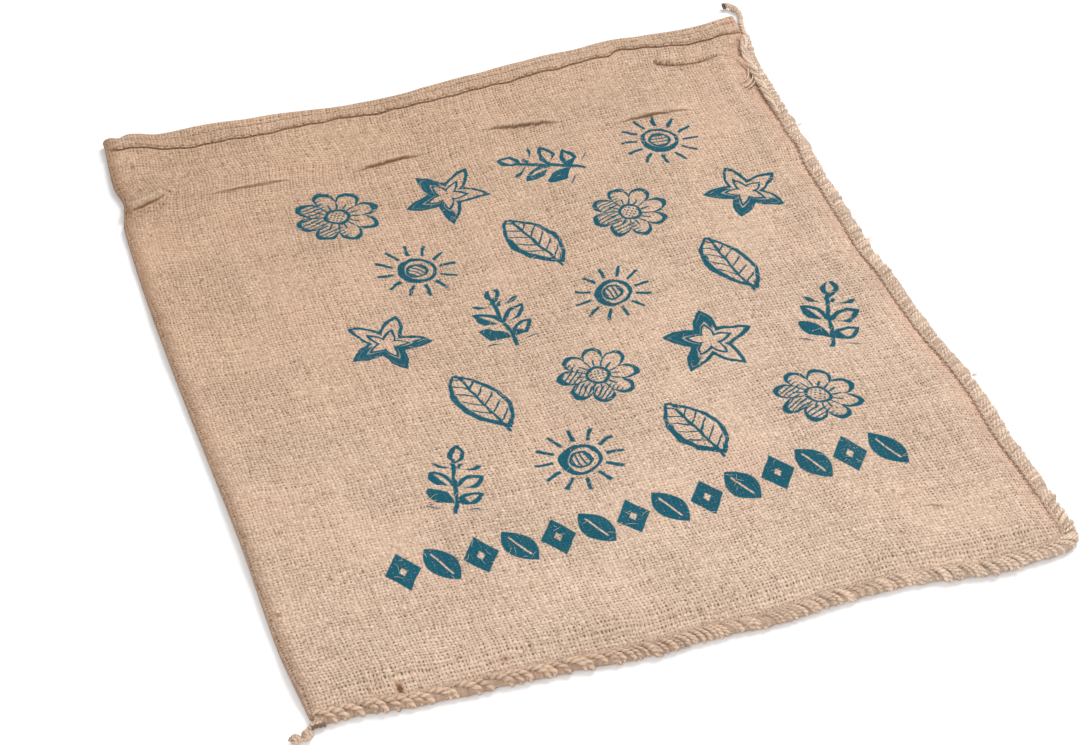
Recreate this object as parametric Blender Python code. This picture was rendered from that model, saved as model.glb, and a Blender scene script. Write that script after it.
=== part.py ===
"""A hessian sack lying flat, slightly puffed, with its mouth open at the far end.

One cut of cloth is folded at the left. Its two layers are closed up the right side and along
the bottom by a rope-like overedge of twine, and the mouth is turned over into a hem.
X runs across the sack, Y from the bottom seam to the mouth, and Z up from the floor.
Lengths in the tables are in millimetres; the meshes are in metres.
"""
import math
from collections import namedtuple

import bmesh
import bpy
from mathutils import Vector

MM = 0.001

# Driving dimensions, millimetres
SACK_WIDTH = 450.0        # left fold to the outside of the side seam
SACK_LENGTH = 545.0       # mean line of the bottom seam to the mouth
CLOTH = 1.2               # one layer of hessian
HEM_WIDTH = 19.0          # turned cloth at the mouth, where it is at its middle width
BODY_HEIGHT = 9.0         # top of the sack above the floor, away from its edges
FOLD_HEIGHT = 5.8         # height of the folded left edge
FOLD_REACH = 4.0          # half-width of the rounded left edge
FOLD_RISE = 60.0          # over which the top climbs from the left edge to BODY_HEIGHT
SEAM_RISE = 22.0          # over which the top climbs from a sewn edge
CORNER_RADIUS = 14.0      # of the cloth, where the two seams meet

# The sewn edge: both layers, pressed together, enter a groove in the overedge twine
TUCK_DEPTH = 4.2          # width of the pressed strip
TUCK_BOTTOM = 1.35        # its underside and its top above the floor
TUCK_TOP = 2.95
SEWN_MARGIN = 14.0        # from the cloth's edge to the inside of the bag
TWINE_REACH = 5.0         # twine beyond the cloth's edge
STITCH_PITCH = 6.4        # from one overedge stitch to the next
STITCH_SLANT = -0.55      # how far a stitch runs along the seam, for each mm across it
STITCH_VALLEY = 0.80      # size of the twine between two stitches, as a share of a stitch
MOUTH_SEAM_END = 19.0     # from the mouth down to the first overedge stitch
SIDE_SEAM_END = 30.0      # from the bottom edge up to where the two overedge runs meet
PIECE_GAP = 0.35          # between pieces that touch

TAIL_DIAMETER = 3.2       # twine left over at the mouth
TAIL_STEP = 6.5           # spacing of the points of its tube

Offset = namedtuple("Offset", "along offset")
MouthPoint = namedtuple("MouthPoint", "along offset hem_width")
HemSection = namedtuple("HemSection", "below_mouth rise thickness")
Crease = namedtuple("Crease", "name x0 y0 x1 y1 half_width height")
Swell = namedtuple("Swell", "wave_x wave_y phase height")
TwinePoint = namedtuple("TwinePoint", "across height ridged")
KnotRing = namedtuple("KnotRing", "x y z radius")

# How far each edge strays outwards (+X or +Y) from the plain rectangle
LEFT_EDGE = [Offset(0, 0), Offset(55, -4), Offset(150, -4), Offset(340, -8), Offset(455, -6.5),
             Offset(482, -1.5), Offset(502, -3), Offset(545, -1)]
RIGHT_EDGE = [Offset(0, 4), Offset(50, 7), Offset(90, 8), Offset(150, -0.5), Offset(200, -5.5),
              Offset(300, -11.5), Offset(400, -6), Offset(465, -8.5), Offset(525, -1), Offset(550, 1)]
BOTTOM_EDGE = [Offset(0, -3.5), Offset(60, -5), Offset(115, -6), Offset(195, -11), Offset(222, -6),
               Offset(280, -8), Offset(335, -2), Offset(395, -10), Offset(450, -9)]
MOUTH_EDGE = [MouthPoint(0, 5, 14), MouthPoint(18, 5, 15), MouthPoint(45, -4, 17),
              MouthPoint(100, -6, 18), MouthPoint(170, -15, 14), MouthPoint(205, -13, 13),
              MouthPoint(225, -8, 15), MouthPoint(305, -6, 19), MouthPoint(348, 4, 24),
              MouthPoint(368, 3, 17), MouthPoint(405, 0, 18), MouthPoint(440, 6, 20)]

# Section of the hem and of the stitched groove below it
HEM = [HemSection(0, 0.5, 1.2), HemSection(2, 1.2, 2.4), HemSection(10, 1.4, 2.6),
       HemSection(17, 1.2, 2.4), HemSection(HEM_WIDTH, -0.4, CLOTH), HemSection(23.5, -0.1, CLOTH),
       HemSection(29, 0, CLOTH)]
HEM_FADE = 48.0           # below the mouth, where the rows of cloth no longer follow the hem

# Ridges (height above 0) and troughs (below 0) of the front layer
CREASES = [
    Crease("tuck ridge at the fold", 2, 472, 26, 478, 5.0, 2.4),
    Crease("tuck trough at the fold", 0, 463, 22, 468, 4.0, -1.4),
    Crease("cross crease, left", 48, 466, 110, 465, 4.5, 1.7),
    Crease("cross crease, middle", 142, 462, 198, 465, 4.5, 2.0),
    Crease("cross crease, right", 238, 477, 294, 468, 4.5, 2.6),
    Crease("lower cross crease", 328, 457, 378, 455, 4.5, 3.2),
    Crease("pinched pleat, tip", 376, 513, 398, 505, 4.5, 4.2),
    Crease("pinched pleat, middle", 396, 505, 420, 506, 5.5, 3.8),
    Crease("pinched pleat, seam end", 420, 506, 434, 485, 5.5, 3.0),
    Crease("trough beside the seam", 425, 462, 432, 436, 7.0, -1.2),
    Crease("low wrinkle near the corner", 372, 48, 398, 42, 8.0, 1.0),
    Crease("slack above the bottom seam", 150, 24, 215, 18, 12.0, 1.3),
]

# Broad unevenness of the top: waves per metre across and along, phase and height
SWELLS = [Swell(5.2, 1.9, 0.4, 0.30), Swell(-2.3, 6.1, 2.1, 0.28), Swell(8.3, -5.4, 1.2, 0.16)]

# Grid of the cloth: distances from the left fold, up from the bottom edge, down from the mouth
COLUMNS = [4, 11, 24, 42, 65, 90, 115, 140, 165, 190, 215, 240, 265, 290, 315, 335, 352, 366,
           377, 387, 397, 406, 414, 422, 431, 440.8, 445]
ROWS_FROM_BOTTOM = [0, 4.2, 14, 26, 45, 70, 100, 130, 160, 190, 220, 250, 280, 310, 340, 370,
                    395, 415, 430, 441]
ROWS_FROM_MOUTH = [98, 94, 90, 86, 82, 78, 74, 70, 66, 62, 57, HEM_FADE, 43, 39, 35, 29, 23.5,
                   HEM_WIDTH, 17, 10, 2, 0]
FOLD_ANGLES = [-90, -45, 0, 45, 90]    # degrees round the left edge, from the floor to the top

# Section of the overedge twine: out from the cloth's edge, above the floor, part of a ridge
TWINE_SECTION = [
    TwinePoint(-3.0, 3.30, False), TwinePoint(PIECE_GAP, 3.30, False),
    TwinePoint(PIECE_GAP, 1.00, False), TwinePoint(-3.0, 1.00, False),
    TwinePoint(-2.6, 0.0, True), TwinePoint(2.8, 0.0, True), TwinePoint(4.8, 2.5, True),
    TwinePoint(2.2, 5.0, True), TwinePoint(-2.1, 4.8, True)]
TWINE_CENTRE = TwinePoint(0.9, 2.4, False)

# Twine left at the two ends of the seam, from the twine outwards
TAIL_ROUTE = [Vector((0.0, 0.0, 2.5)), Vector((0.8, 8.0, 2.5)), Vector((2.8, 17.0, 2.3)),
              Vector((5.4, 25.0, 1.9)), Vector((5.8, 31.5, 1.65)), Vector((2.4, 36.8, 1.62))]
CORNER_KNOT = [KnotRing(-1.6, -1.6, 2.6, 1.1), KnotRing(-2.6, -4.2, 2.9, 2.1),
               KnotRing(-3.6, -7.4, 3.2, 3.2), KnotRing(-5.2, -9.6, 3.2, 3.1),
               KnotRing(-7.6, -10.2, 2.7, 1.9), KnotRing(-9.6, -9.8, 2.9, 2.7),
               KnotRing(-12.0, -9.0, 3.0, 2.9), KnotRing(-13.8, -8.4, 3.0, 1.6)]
KNOT_SIDES = 9


def ease(amount):
    """0 to 1, level at both ends."""
    amount = min(max(amount, 0.0), 1.0)
    return amount * amount * (3.0 - 2.0 * amount)


def read_table(rows, where, column):
    """A smooth curve through one column of a table whose first column rises."""
    if where <= rows[0][0]:
        return rows[0][column]
    if where >= rows[-1][0]:
        return rows[-1][column]
    upper = next(i for i, row in enumerate(rows) if row[0] > where)
    lower = upper - 1
    before = rows[max(lower - 1, 0)]
    after = rows[min(upper + 1, len(rows) - 1)]
    low, high = rows[lower], rows[upper]
    span = high[0] - low[0]
    slope_low = (high[column] - before[column]) / (high[0] - before[0])
    slope_high = (after[column] - low[column]) / (after[0] - low[0])
    t = (where - low[0]) / span
    return ((2 * t ** 3 - 3 * t ** 2 + 1) * low[column] + (t ** 3 - 2 * t ** 2 + t) * span * slope_low
            + (3 * t ** 2 - 2 * t ** 3) * high[column] + (t ** 3 - t ** 2) * span * slope_high)


def left_x(y):
    return read_table(LEFT_EDGE, y, 1)


def right_x(y):
    """The cloth's own edge; the twine reaches TWINE_REACH beyond it."""
    return SACK_WIDTH + read_table(RIGHT_EDGE, y, 1) - TWINE_REACH


def bottom_y(x):
    return read_table(BOTTOM_EDGE, x, 1) + TWINE_REACH


def mouth_y(x):
    return SACK_LENGTH + read_table(MOUTH_EDGE, x, 1)


def below_mouth_at(x, below):
    """Real distance of a row from the mouth, as the hem grows wider and narrower along it."""
    wider = read_table(MOUTH_EDGE, x, 2) - HEM_WIDTH
    fade = ease((HEM_FADE - below) / (HEM_FADE - HEM_WIDTH))
    return below + wider * min(below / HEM_WIDTH, 1.0) * fade


def crease_height(x, y):
    """The highest named ridge and the deepest named trough at one place, added together."""
    ridge = 0.0
    trough = 0.0
    for crease in CREASES:
        run = Vector((crease.x1 - crease.x0, crease.y1 - crease.y0))
        offset = Vector((x - crease.x0, y - crease.y0))
        along = min(max(offset.dot(run) / run.length_squared, 0.0), 1.0)
        distance = (offset - run * along).length
        height = crease.height * math.exp(-(distance / crease.half_width) ** 2)
        ridge = max(ridge, height)
        trough = min(trough, height)
    return ridge + trough


def swell_height(x, y):
    return sum(wave.height * math.sin(2 * math.pi * (wave.wave_x * x + wave.wave_y * y) * MM + wave.phase)
               for wave in SWELLS)


def seam_rise(x, y):
    """0 on the strip that the twine grips, 1 away from the two sewn edges."""
    beside = ease((right_x(y) - x - TUCK_DEPTH) / SEAM_RISE)
    above = ease((y - bottom_y(x) - TUCK_DEPTH) / SEAM_RISE)
    return beside * above


def top_height(x, y, below_mouth):
    """The outside of the front layer above the floor."""
    body = FOLD_HEIGHT + (BODY_HEIGHT - FOLD_HEIGHT) * ease((x - left_x(y) - FOLD_REACH) / FOLD_RISE)
    body += read_table(HEM, below_mouth, 1) + crease_height(x, y) + swell_height(x, y)
    return TUCK_TOP + (body - TUCK_TOP) * seam_rise(x, y)


def underside_height(x, y):
    """The outside of the back layer: on the floor, but for the strip that the twine grips."""
    inset = min(right_x(y) - x, y - bottom_y(x))
    lift = (SEWN_MARGIN - inset) / (SEWN_MARGIN - TUCK_DEPTH)
    return TUCK_BOTTOM * min(max(lift - 0.02, 0.0), 1.0)


def round_corner(x, y):
    """Draws the square corner between the seams in to CORNER_RADIUS."""
    across = (x - (COLUMNS[-1] - CORNER_RADIUS)) / CORNER_RADIUS
    down = (CORNER_RADIUS - y) / CORNER_RADIUS
    if across <= 0.0 or down <= 0.0:
        return 0.0, 0.0
    shift_x = across * (math.sqrt(1.0 - down ** 2 / 2.0) - 1.0)
    shift_y = down * (1.0 - math.sqrt(1.0 - across ** 2 / 2.0))
    return shift_x * CORNER_RADIUS, shift_y * CORNER_RADIUS


def cloth_rows():
    """Each row of the grid: its place up from the bottom edge and down from the mouth."""
    clear_length = SACK_LENGTH - TWINE_REACH
    upper = [(clear_length - below, below) for below in ROWS_FROM_MOUTH]
    return [(up, clear_length - up) for up in ROWS_FROM_BOTTOM] + upper


def grid_point(column, row):
    """X, Y and the height of the top for one column and row of the cloth."""
    up, below_mouth = row
    top_rows_start = ROWS_FROM_BOTTOM[-1]
    clear_length = SACK_LENGTH - TWINE_REACH
    if up <= top_rows_start:
        span = mouth_y(column) - (clear_length - top_rows_start) - bottom_y(column)
        y = bottom_y(column) + up * span / top_rows_start
    else:
        y = mouth_y(column) - below_mouth_at(column, below_mouth)
    x = left_x(y) + column * (right_x(y) - left_x(y)) / COLUMNS[-1]
    height = top_height(x, y, below_mouth)
    floor = underside_height(x, y)
    shift_x, shift_y = round_corner(column, up)
    return x + shift_x, y + shift_y, height, floor


def layer_thickness(below_mouth):
    return read_table(HEM, below_mouth, 2)


def fold_loop(x, centre_y, reach, low, high):
    """Points round the left edge, from the lower surface to the upper one."""
    middle = (low + high) / 2.0
    half = (high - low) / 2.0
    angles = [math.radians(angle) for angle in FOLD_ANGLES[1:-1]]
    return [(x - reach * math.cos(angle), centre_y, middle + half * math.sin(angle)) for angle in angles]


def make_object(name, material, mesh_data):
    mesh = bpy.data.meshes.new(name)
    mesh_data.to_mesh(mesh)
    mesh_data.free()
    mesh.materials.append(material)
    mesh.shade_smooth()
    mesh.set_sharp_from_angle(angle=math.radians(35))
    placed = bpy.data.objects.new(name, mesh)
    bpy.context.collection.objects.link(placed)
    return placed


def add_row(mesh_data, points):
    return [mesh_data.verts.new((x * MM, y * MM, z * MM)) for x, y, z in points]


def join_rows(mesh_data, first, second):
    for i in range(len(first) - 1):
        mesh_data.faces.new((first[i], first[i + 1], second[i + 1], second[i]))


def cloth_shell(mesh_data, rows, columns, inside):
    """The outer or inner skin as rows of (underside, round the fold, top) vertices."""
    skins = []
    for row in rows:
        thickness = layer_thickness(row[1]) if inside else 0.0
        points = [grid_point(column, row) for column in columns]
        low = [(x, y, thickness if inside else floor) for x, y, _, floor in points]
        high = [(x, y, top - thickness) for x, y, top, _ in points]
        fold = fold_loop(points[0][0], points[0][1], FOLD_REACH - thickness, low[0][2], high[0][2])
        skins.append((add_row(mesh_data, low), add_row(mesh_data, fold), add_row(mesh_data, high)))
    for (low_a, fold_a, high_a), (low_b, fold_b, high_b) in zip(skins, skins[1:]):
        join_rows(mesh_data, low_a[::-1] + fold_a + high_a, low_b[::-1] + fold_b + high_b)
        mesh_data.faces.new((high_a[-1], low_a[-1], low_b[-1], high_b[-1]))
    low, fold, high = skins[0]
    join_rows(mesh_data, low, high)
    mesh_data.faces.new([low[0]] + fold + [high[0]])
    return skins


def close_mouth_rim(mesh_data, outer, inner):
    """The turned edge of the hem, and the sewn end of both layers beside it."""
    outer_low, outer_fold, outer_high = outer
    inner_low, inner_fold, inner_high = inner
    count = len(inner_low)
    outer_loop = outer_low[:count][::-1] + outer_fold + outer_high[:count]
    inner_loop = inner_low[::-1] + inner_fold + inner_high
    join_rows(mesh_data, outer_loop, inner_loop)
    sewn_end = outer_high[count - 1:] + outer_low[count - 1:][::-1]
    mesh_data.faces.new(sewn_end + [inner_low[-1], inner_high[-1]])


def merge_level_faces(mesh_data, height):
    """Turns all the faces at one level height into a single flat face."""
    level = [face for face in mesh_data.faces
             if all(abs(vert.co.z - height) < 1e-7 for vert in face.verts)]
    bmesh.ops.dissolve_faces(mesh_data, faces=level, use_verts=True)


def build_cloth(material):
    rows = cloth_rows()
    inner_columns = [column for column in COLUMNS if column <= COLUMNS[-1] - SEWN_MARGIN]
    inner_rows = [row for row in rows if row[0] >= SEWN_MARGIN]
    mesh_data = bmesh.new()
    outer = cloth_shell(mesh_data, rows, COLUMNS, False)
    inner = cloth_shell(mesh_data, inner_rows, inner_columns, True)
    close_mouth_rim(mesh_data, outer[-1], inner[-1])
    merge_level_faces(mesh_data, 0.0)
    merge_level_faces(mesh_data, CLOTH * MM)
    bmesh.ops.recalc_face_normals(mesh_data, faces=mesh_data.faces)
    return make_object("sack_cloth", material, mesh_data)


def seam_path():
    """The cloth's sewn edge, from the mouth round the corner to the left fold, on the floor."""
    rows = cloth_rows()
    side = [grid_point(COLUMNS[-1], row)[:2] for row in rows if row[0] >= CORNER_RADIUS][::-1]
    steps = 12
    corner = []
    start = Vector(side[-1])
    end = Vector(grid_point(COLUMNS[-1] - CORNER_RADIUS, rows[0])[:2])
    for step in range(1, steps):
        angle = math.pi / 2 * step / steps
        corner.append((end.x + (start.x - end.x) * math.cos(angle),
                       start.y + (end.y - start.y) * math.sin(angle)))
    bottom = [grid_point(column, rows[0])[:2] for column in COLUMNS[::-1]
              if column <= COLUMNS[-1] - CORNER_RADIUS]
    last = bottom[-1]
    return [Vector(point) for point in side + corner + bottom + [(last[0] - 3.6, last[1])]]


class Path:
    """A line of points that can be read by distance, with its outward side."""

    def __init__(self, points):
        self.points = points
        self.starts = [0.0]
        for first, second in zip(points, points[1:]):
            self.starts.append(self.starts[-1] + (second - first).length)
        self.length = self.starts[-1]

    def outward(self, index):
        before = self.points[max(index - 1, 0)]
        after = self.points[min(index + 1, len(self.points) - 1)]
        run = (after - before).normalized()
        return Vector((-run.y, run.x))

    def read(self, distance):
        distance = min(max(distance, 0.0), self.length)
        index = 0
        while index < len(self.points) - 2 and self.starts[index + 1] < distance:
            index += 1
        t = (distance - self.starts[index]) / (self.starts[index + 1] - self.starts[index])
        point = self.points[index].lerp(self.points[index + 1], t)
        side = self.outward(index).lerp(self.outward(index + 1), t).normalized()
        return point, side


def twine_ring(path, distance, is_ridge, slant):
    """One section of the overedge, drawn along the seam across its width as a stitch is."""
    lump = 1.0 + 0.07 * math.sin(distance / 2.9) * math.sin(distance / 11.0)
    size = (1.0 if is_ridge else STITCH_VALLEY) * lump
    ring = []
    for corner in TWINE_SECTION:
        across, height = corner.across, corner.height
        if corner.ridged:
            across = TWINE_CENTRE.across + (across - TWINE_CENTRE.across) * size
            height = max(TWINE_CENTRE.height + (height - TWINE_CENTRE.height) * size, 0.0)
        point, side = path.read(distance + slant * across)
        ring.append((point.x + side.x * across, point.y + side.y * across, height))
    return ring


def build_overedge(name, material, path, start, end):
    """A ridged length of overedge twine round the cloth's edge."""
    count = 2 * round((end - start) / STITCH_PITCH) + 1
    rings = []
    mesh_data = bmesh.new()
    for index in range(count):
        distance = start + (end - start) * index / (count - 1)
        slant = STITCH_SLANT * min(index, count - 1 - index, 4) / 4
        ring = twine_ring(path, distance, index % 2 == 1, slant)
        rings.append(add_row(mesh_data, ring))
    for first, second in zip(rings, rings[1:]):
        join_rows(mesh_data, first + first[:1], second + second[:1])
    mesh_data.faces.new(rings[0])
    mesh_data.faces.new(rings[-1])
    bmesh.ops.recalc_face_normals(mesh_data, faces=mesh_data.faces)
    return make_object(name, material, mesh_data)


def smooth_route(points, step):
    """Points about a step apart on a Catmull-Rom curve through the route."""
    dense = []
    for index in range(len(points) - 1):
        before = points[max(index - 1, 0)]
        after = points[min(index + 2, len(points) - 1)]
        first, second = points[index], points[index + 1]
        for part in range(20):
            t = part / 20
            dense.append(0.5 * (2 * first + (second - before) * t
                                + (2 * before - 5 * first + 4 * second - after) * t ** 2
                                + (3 * first - before - 3 * second + after) * t ** 3))
    dense.append(points[-1])
    lengths = [0.0]
    for first, second in zip(dense, dense[1:]):
        lengths.append(lengths[-1] + (second - first).length)
    count = round(lengths[-1] / step)
    marks = [lengths[-1] * index / count for index in range(count + 1)]
    return [dense[min(range(len(dense)), key=lambda i: abs(lengths[i] - mark))] for mark in marks]


def build_tail(material, exit_point):
    """The free end of the side seam's twine, lying past the mouth."""
    route = smooth_route([exit_point + point for point in TAIL_ROUTE], TAIL_STEP)
    curve = bpy.data.curves.new("twine_tail", "CURVE")
    curve.dimensions = "3D"
    curve.bevel_depth = TAIL_DIAMETER / 2 * MM
    curve.bevel_resolution = 2
    curve.use_fill_caps = True
    spline = curve.splines.new("POLY")
    spline.points.add(len(route) - 1)
    for point, place in zip(spline.points, route):
        point.co = (*(place * MM), 1.0)
    curve.materials.append(material)
    placed = bpy.data.objects.new("twine_tail", curve)
    bpy.context.collection.objects.link(placed)
    return placed, route


def build_knot(name, material, rings):
    """A lump of knotted twine, turned round a bent centre line."""
    centres = [Vector((ring.x, ring.y, ring.z)) for ring in rings]
    mesh_data = bmesh.new()
    loops = []
    for index, ring in enumerate(rings):
        run = centres[min(index + 1, len(rings) - 1)] - centres[max(index - 1, 0)]
        side = run.cross(Vector((0, 0, 1))).normalized()
        up = side.cross(run).normalized()
        points = []
        for corner in range(KNOT_SIDES):
            angle = 2 * math.pi * corner / KNOT_SIDES + math.pi / 2
            radius = ring.radius * (1.0 + 0.08 * math.sin(3 * angle + index))
            spot = centres[index] + (side * math.cos(angle) + up * math.sin(angle)) * radius
            points.append((spot.x, spot.y, max(spot.z, 0.0)))
        loops.append(add_row(mesh_data, points))
    for first, second in zip(loops, loops[1:]):
        join_rows(mesh_data, first + first[:1], second + second[:1])
    mesh_data.faces.new(loops[0])
    mesh_data.faces.new(loops[-1])
    bmesh.ops.recalc_face_normals(mesh_data, faces=mesh_data.faces)
    return make_object(name, material, mesh_data)


def tail_knot_rings(route):
    """The round knotted end, just clear of the tail's last point."""
    run = (route[-1] - route[-2]).normalized()
    rings = []
    for ahead, radius in ((PIECE_GAP, 1.3), (1.6, 2.5), (3.4, 2.9), (5.2, 2.3), (6.2, 1.1)):
        centre = route[-1] + run * ahead
        rings.append(KnotRing(centre.x, centre.y, max(radius, 2.2) + 0.05, radius))
    return rings


def make_material(name, colour, roughness):
    material = bpy.data.materials.new(name)
    material.use_nodes = True
    shader = material.node_tree.nodes["Principled BSDF"]
    shader.inputs["Base Color"].default_value = (*colour, 1.0)
    shader.inputs["Roughness"].default_value = roughness
    shader.inputs["Metallic"].default_value = 0.0
    return material


def centre_footprint(measured, placed):
    """Hangs everything on an empty that puts the middle of the sack over the origin."""
    bpy.context.view_layer.update()
    corners = [vert.co for piece in measured for vert in piece.data.vertices]
    middle_x = (min(co.x for co in corners) + max(co.x for co in corners)) / 2
    middle_y = (min(co.y for co in corners) + max(co.y for co in corners)) / 2
    holder = bpy.data.objects.new("sack_centre", None)
    bpy.context.collection.objects.link(holder)
    holder.location = (-middle_x, -middle_y, 0.0)
    for piece in placed:
        piece.parent = holder


def main():
    for leftover in list(bpy.data.objects):
        bpy.data.objects.remove(leftover)
    hessian = make_material("hessian", (0.66, 0.49, 0.34), 0.95)
    twine = make_material("twine", (0.62, 0.46, 0.31), 0.9)
    cloth = build_cloth(hessian)
    path = Path(seam_path())
    side_end = SACK_LENGTH - SIDE_SEAM_END
    side = build_overedge("overedge_side", twine, path, MOUTH_SEAM_END, side_end)
    bottom = build_overedge("overedge_bottom", twine, path, side_end + PIECE_GAP, path.length)
    knot = build_knot("corner_knot", twine, CORNER_KNOT)
    leaving, outward = path.read(MOUTH_SEAM_END - PIECE_GAP)
    exit_point = Vector((leaving.x + outward.x * 2.2, leaving.y + outward.y * 2.2, 0.0))
    tail, route = build_tail(twine, exit_point)
    tail_knot = build_knot("tail_knot", twine, tail_knot_rings(route))
    centre_footprint([cloth, side, bottom, knot], [cloth, side, bottom, knot, tail, tail_knot])


main()
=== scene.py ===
"""Hessian sack: woven cloth, hand-inked print, overedge seams, hemmed mouth and loose fibres.

Sizes in the tables are in millimetres from the sack's bottom left corner: X across from the
fold, Y from the bottom seam to the mouth, Z above the floor. Meshes are made in metres.
"""

import math
from collections import namedtuple

import bmesh
import bpy
import numpy as np
from bpy.props import BoolProperty, FloatProperty, FloatVectorProperty, IntProperty, PointerProperty
from mathutils import Matrix, Vector


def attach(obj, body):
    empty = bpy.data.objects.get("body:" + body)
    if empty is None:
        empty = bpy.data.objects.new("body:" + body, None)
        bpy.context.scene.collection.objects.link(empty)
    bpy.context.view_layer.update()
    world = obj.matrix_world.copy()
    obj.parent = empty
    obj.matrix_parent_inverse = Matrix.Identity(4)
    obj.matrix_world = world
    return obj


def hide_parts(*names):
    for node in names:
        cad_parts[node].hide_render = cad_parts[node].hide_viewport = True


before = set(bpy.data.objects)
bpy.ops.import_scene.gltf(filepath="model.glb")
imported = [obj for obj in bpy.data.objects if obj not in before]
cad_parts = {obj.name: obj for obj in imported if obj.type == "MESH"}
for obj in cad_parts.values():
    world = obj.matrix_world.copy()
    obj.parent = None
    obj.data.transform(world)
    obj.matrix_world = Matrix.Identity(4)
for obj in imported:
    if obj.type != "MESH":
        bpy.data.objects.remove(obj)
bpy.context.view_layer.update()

bl_info = {
    "name": "Hessian Sack",
    "version": (1, 0, 0),
    "blender": (4, 5, 0),
    "location": "3D View > Sidebar > Hessian Sack",
    "description": "Builds a flat hessian sack with overedge seams, a hemmed mouth and a printed front",
    "category": "Object",
}

MM = 0.001
CENTRE = np.array([-221.696, -269.213, 0.0])

# ---------------------------------------------------------------- the sack's own measures

SACK_WIDTH, SACK_LENGTH = 450.0, 545.0
HEM_WIDTH, HEM_FADE = 19.0, 48.0
HEM_MIDDLE, HEM_PITCH = 9.0, 5.2    # from the mouth to the stitches along the hem's middle, and their spacing
BODY_HEIGHT, FOLD_HEIGHT, FOLD_REACH, FOLD_RISE, SEAM_RISE = 9.0, 5.8, 4.0, 60.0, 19.0
CORNER_RADIUS, TUCK_DEPTH, TUCK_BOTTOM, TUCK_TOP = 14.0, 4.2, 1.35, 3.5
SEWN_MARGIN, TWINE_REACH, HEM_END_RISE = 14.0, 5.0, 2.4
SEAM_START, SEAMS_MEET = 19.0, 515.0
FIRST_COLUMN, LAST_COLUMN = 4.0, 445.0
TOP_ROWS_START, CLEAR_LENGTH = 441.0, 540.0
COARSE = 3                  # columns of the front for each column of the back and of the inside
STITCH_PLIES = 2

# along the seam: where the side's stitches give way to the bottom's, and over how far
BOTTOM_START, BOTTOM_RISE = 500.0, 30.0
# where the stitches turn long and rope-like, over how far, and their spacing there
ROPE_START, ROPE_RISE, ROPE_PITCH = 800.0, 55.0, 7.4

# rows of the cloth's mesh: from, to, and how many with both ends, or 0 for the mesh spacing
ROW_BANDS = [(0, 24, 13), (24, 428, 0), (428, 453, 13), (453, 482, 37), (482, 498, 12), (498, 525, 34),
             (525, CLEAR_LENGTH, 14)]

LEFT_EDGE = [(0, 0), (55, -4), (150, -4), (340, -8), (455, -6.5), (482, -1.5), (502, -4), (545, -1)]
RIGHT_EDGE = [(0, 3), (12, 3), (30, 1.7), (60, 1.7), (85, 0.2), (130, 0.8), (160, -0.8), (190, -4.3),
              (225, -6.3), (255, -7.0), (285, -10.0), (320, -9.0), (350, -8.6), (378, -8.8), (401, -6.6),
              (415, -7.4), (430, -6.6), (445, -7.0), (480, -6.0), (508, -4.8), (528, -1.0), (550, 1.0)]
BOTTOM_EDGE = [(0, -2.4), (18, -3.4), (36, -3.8), (53, -6.2), (80, -7.2), (116, -7.6), (150, -8.9),
               (195, -11.2), (217, -9.2), (245, -9.6), (264, -9.8), (284, -7.6), (303, -5.4), (323, -5.2),
               (342, -4.2), (369, -8.3), (388, -11.2), (405, -10.6), (428, -9.0), (450, -8.4)]
# along, offset of the mouth line, width of the hem there
MOUTH_EDGE = [(0, 6.2, 11.6), (6, 6.9, 12), (10.5, 4.4, 10.6), (16, 6.7, 13), (24, 5.0, 15.4),
              (33, 0.2, 15.4), (44, -1.8, 17), (64, -1.8, 21), (97, -4.3, 20), (119, -6.8, 16.4),
              (135, -8.7, 13.8), (163, -11.2, 12.2), (185, -12.3, 12.4), (205, -12.0, 13.6),
              (219, -8.6, 15.2), (242, -6.8, 15.4), (258, -5.0, 16), (276, -1.5, 16), (300, 1.7, 15.6),
              (324, 3.0, 15.6), (347, 4.0, 14.6), (358, 3.0, 12), (370, 1.4, 11.4), (384, 1.8, 14.6),
              (405, 0.6, 16.2), (424, 1.8, 17.6), (440, 5.2, 19)]
# below the mouth, rise above the body, thickness
HEM = [(0, -0.1, 1.2), (0.8, 0.9, 1.8), (2.4, 1.3, 2.4), (7.4, 1.15, 2.5), (9, 0.85, 2.5),
       (10.6, 1.2, 2.6), (16, 1.5, 2.5), (17.6, 1.1, 2.4), (18.7, -0.35, 1.8), (19.4, -1.0, 1.2),
       (20.6, -0.55, 1.2), (23.5, 0.0, 1.2), (29, 0, 1.2)]

Crease = namedtuple("Crease", "x0 y0 x1 y1 half_width height lean line")
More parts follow.
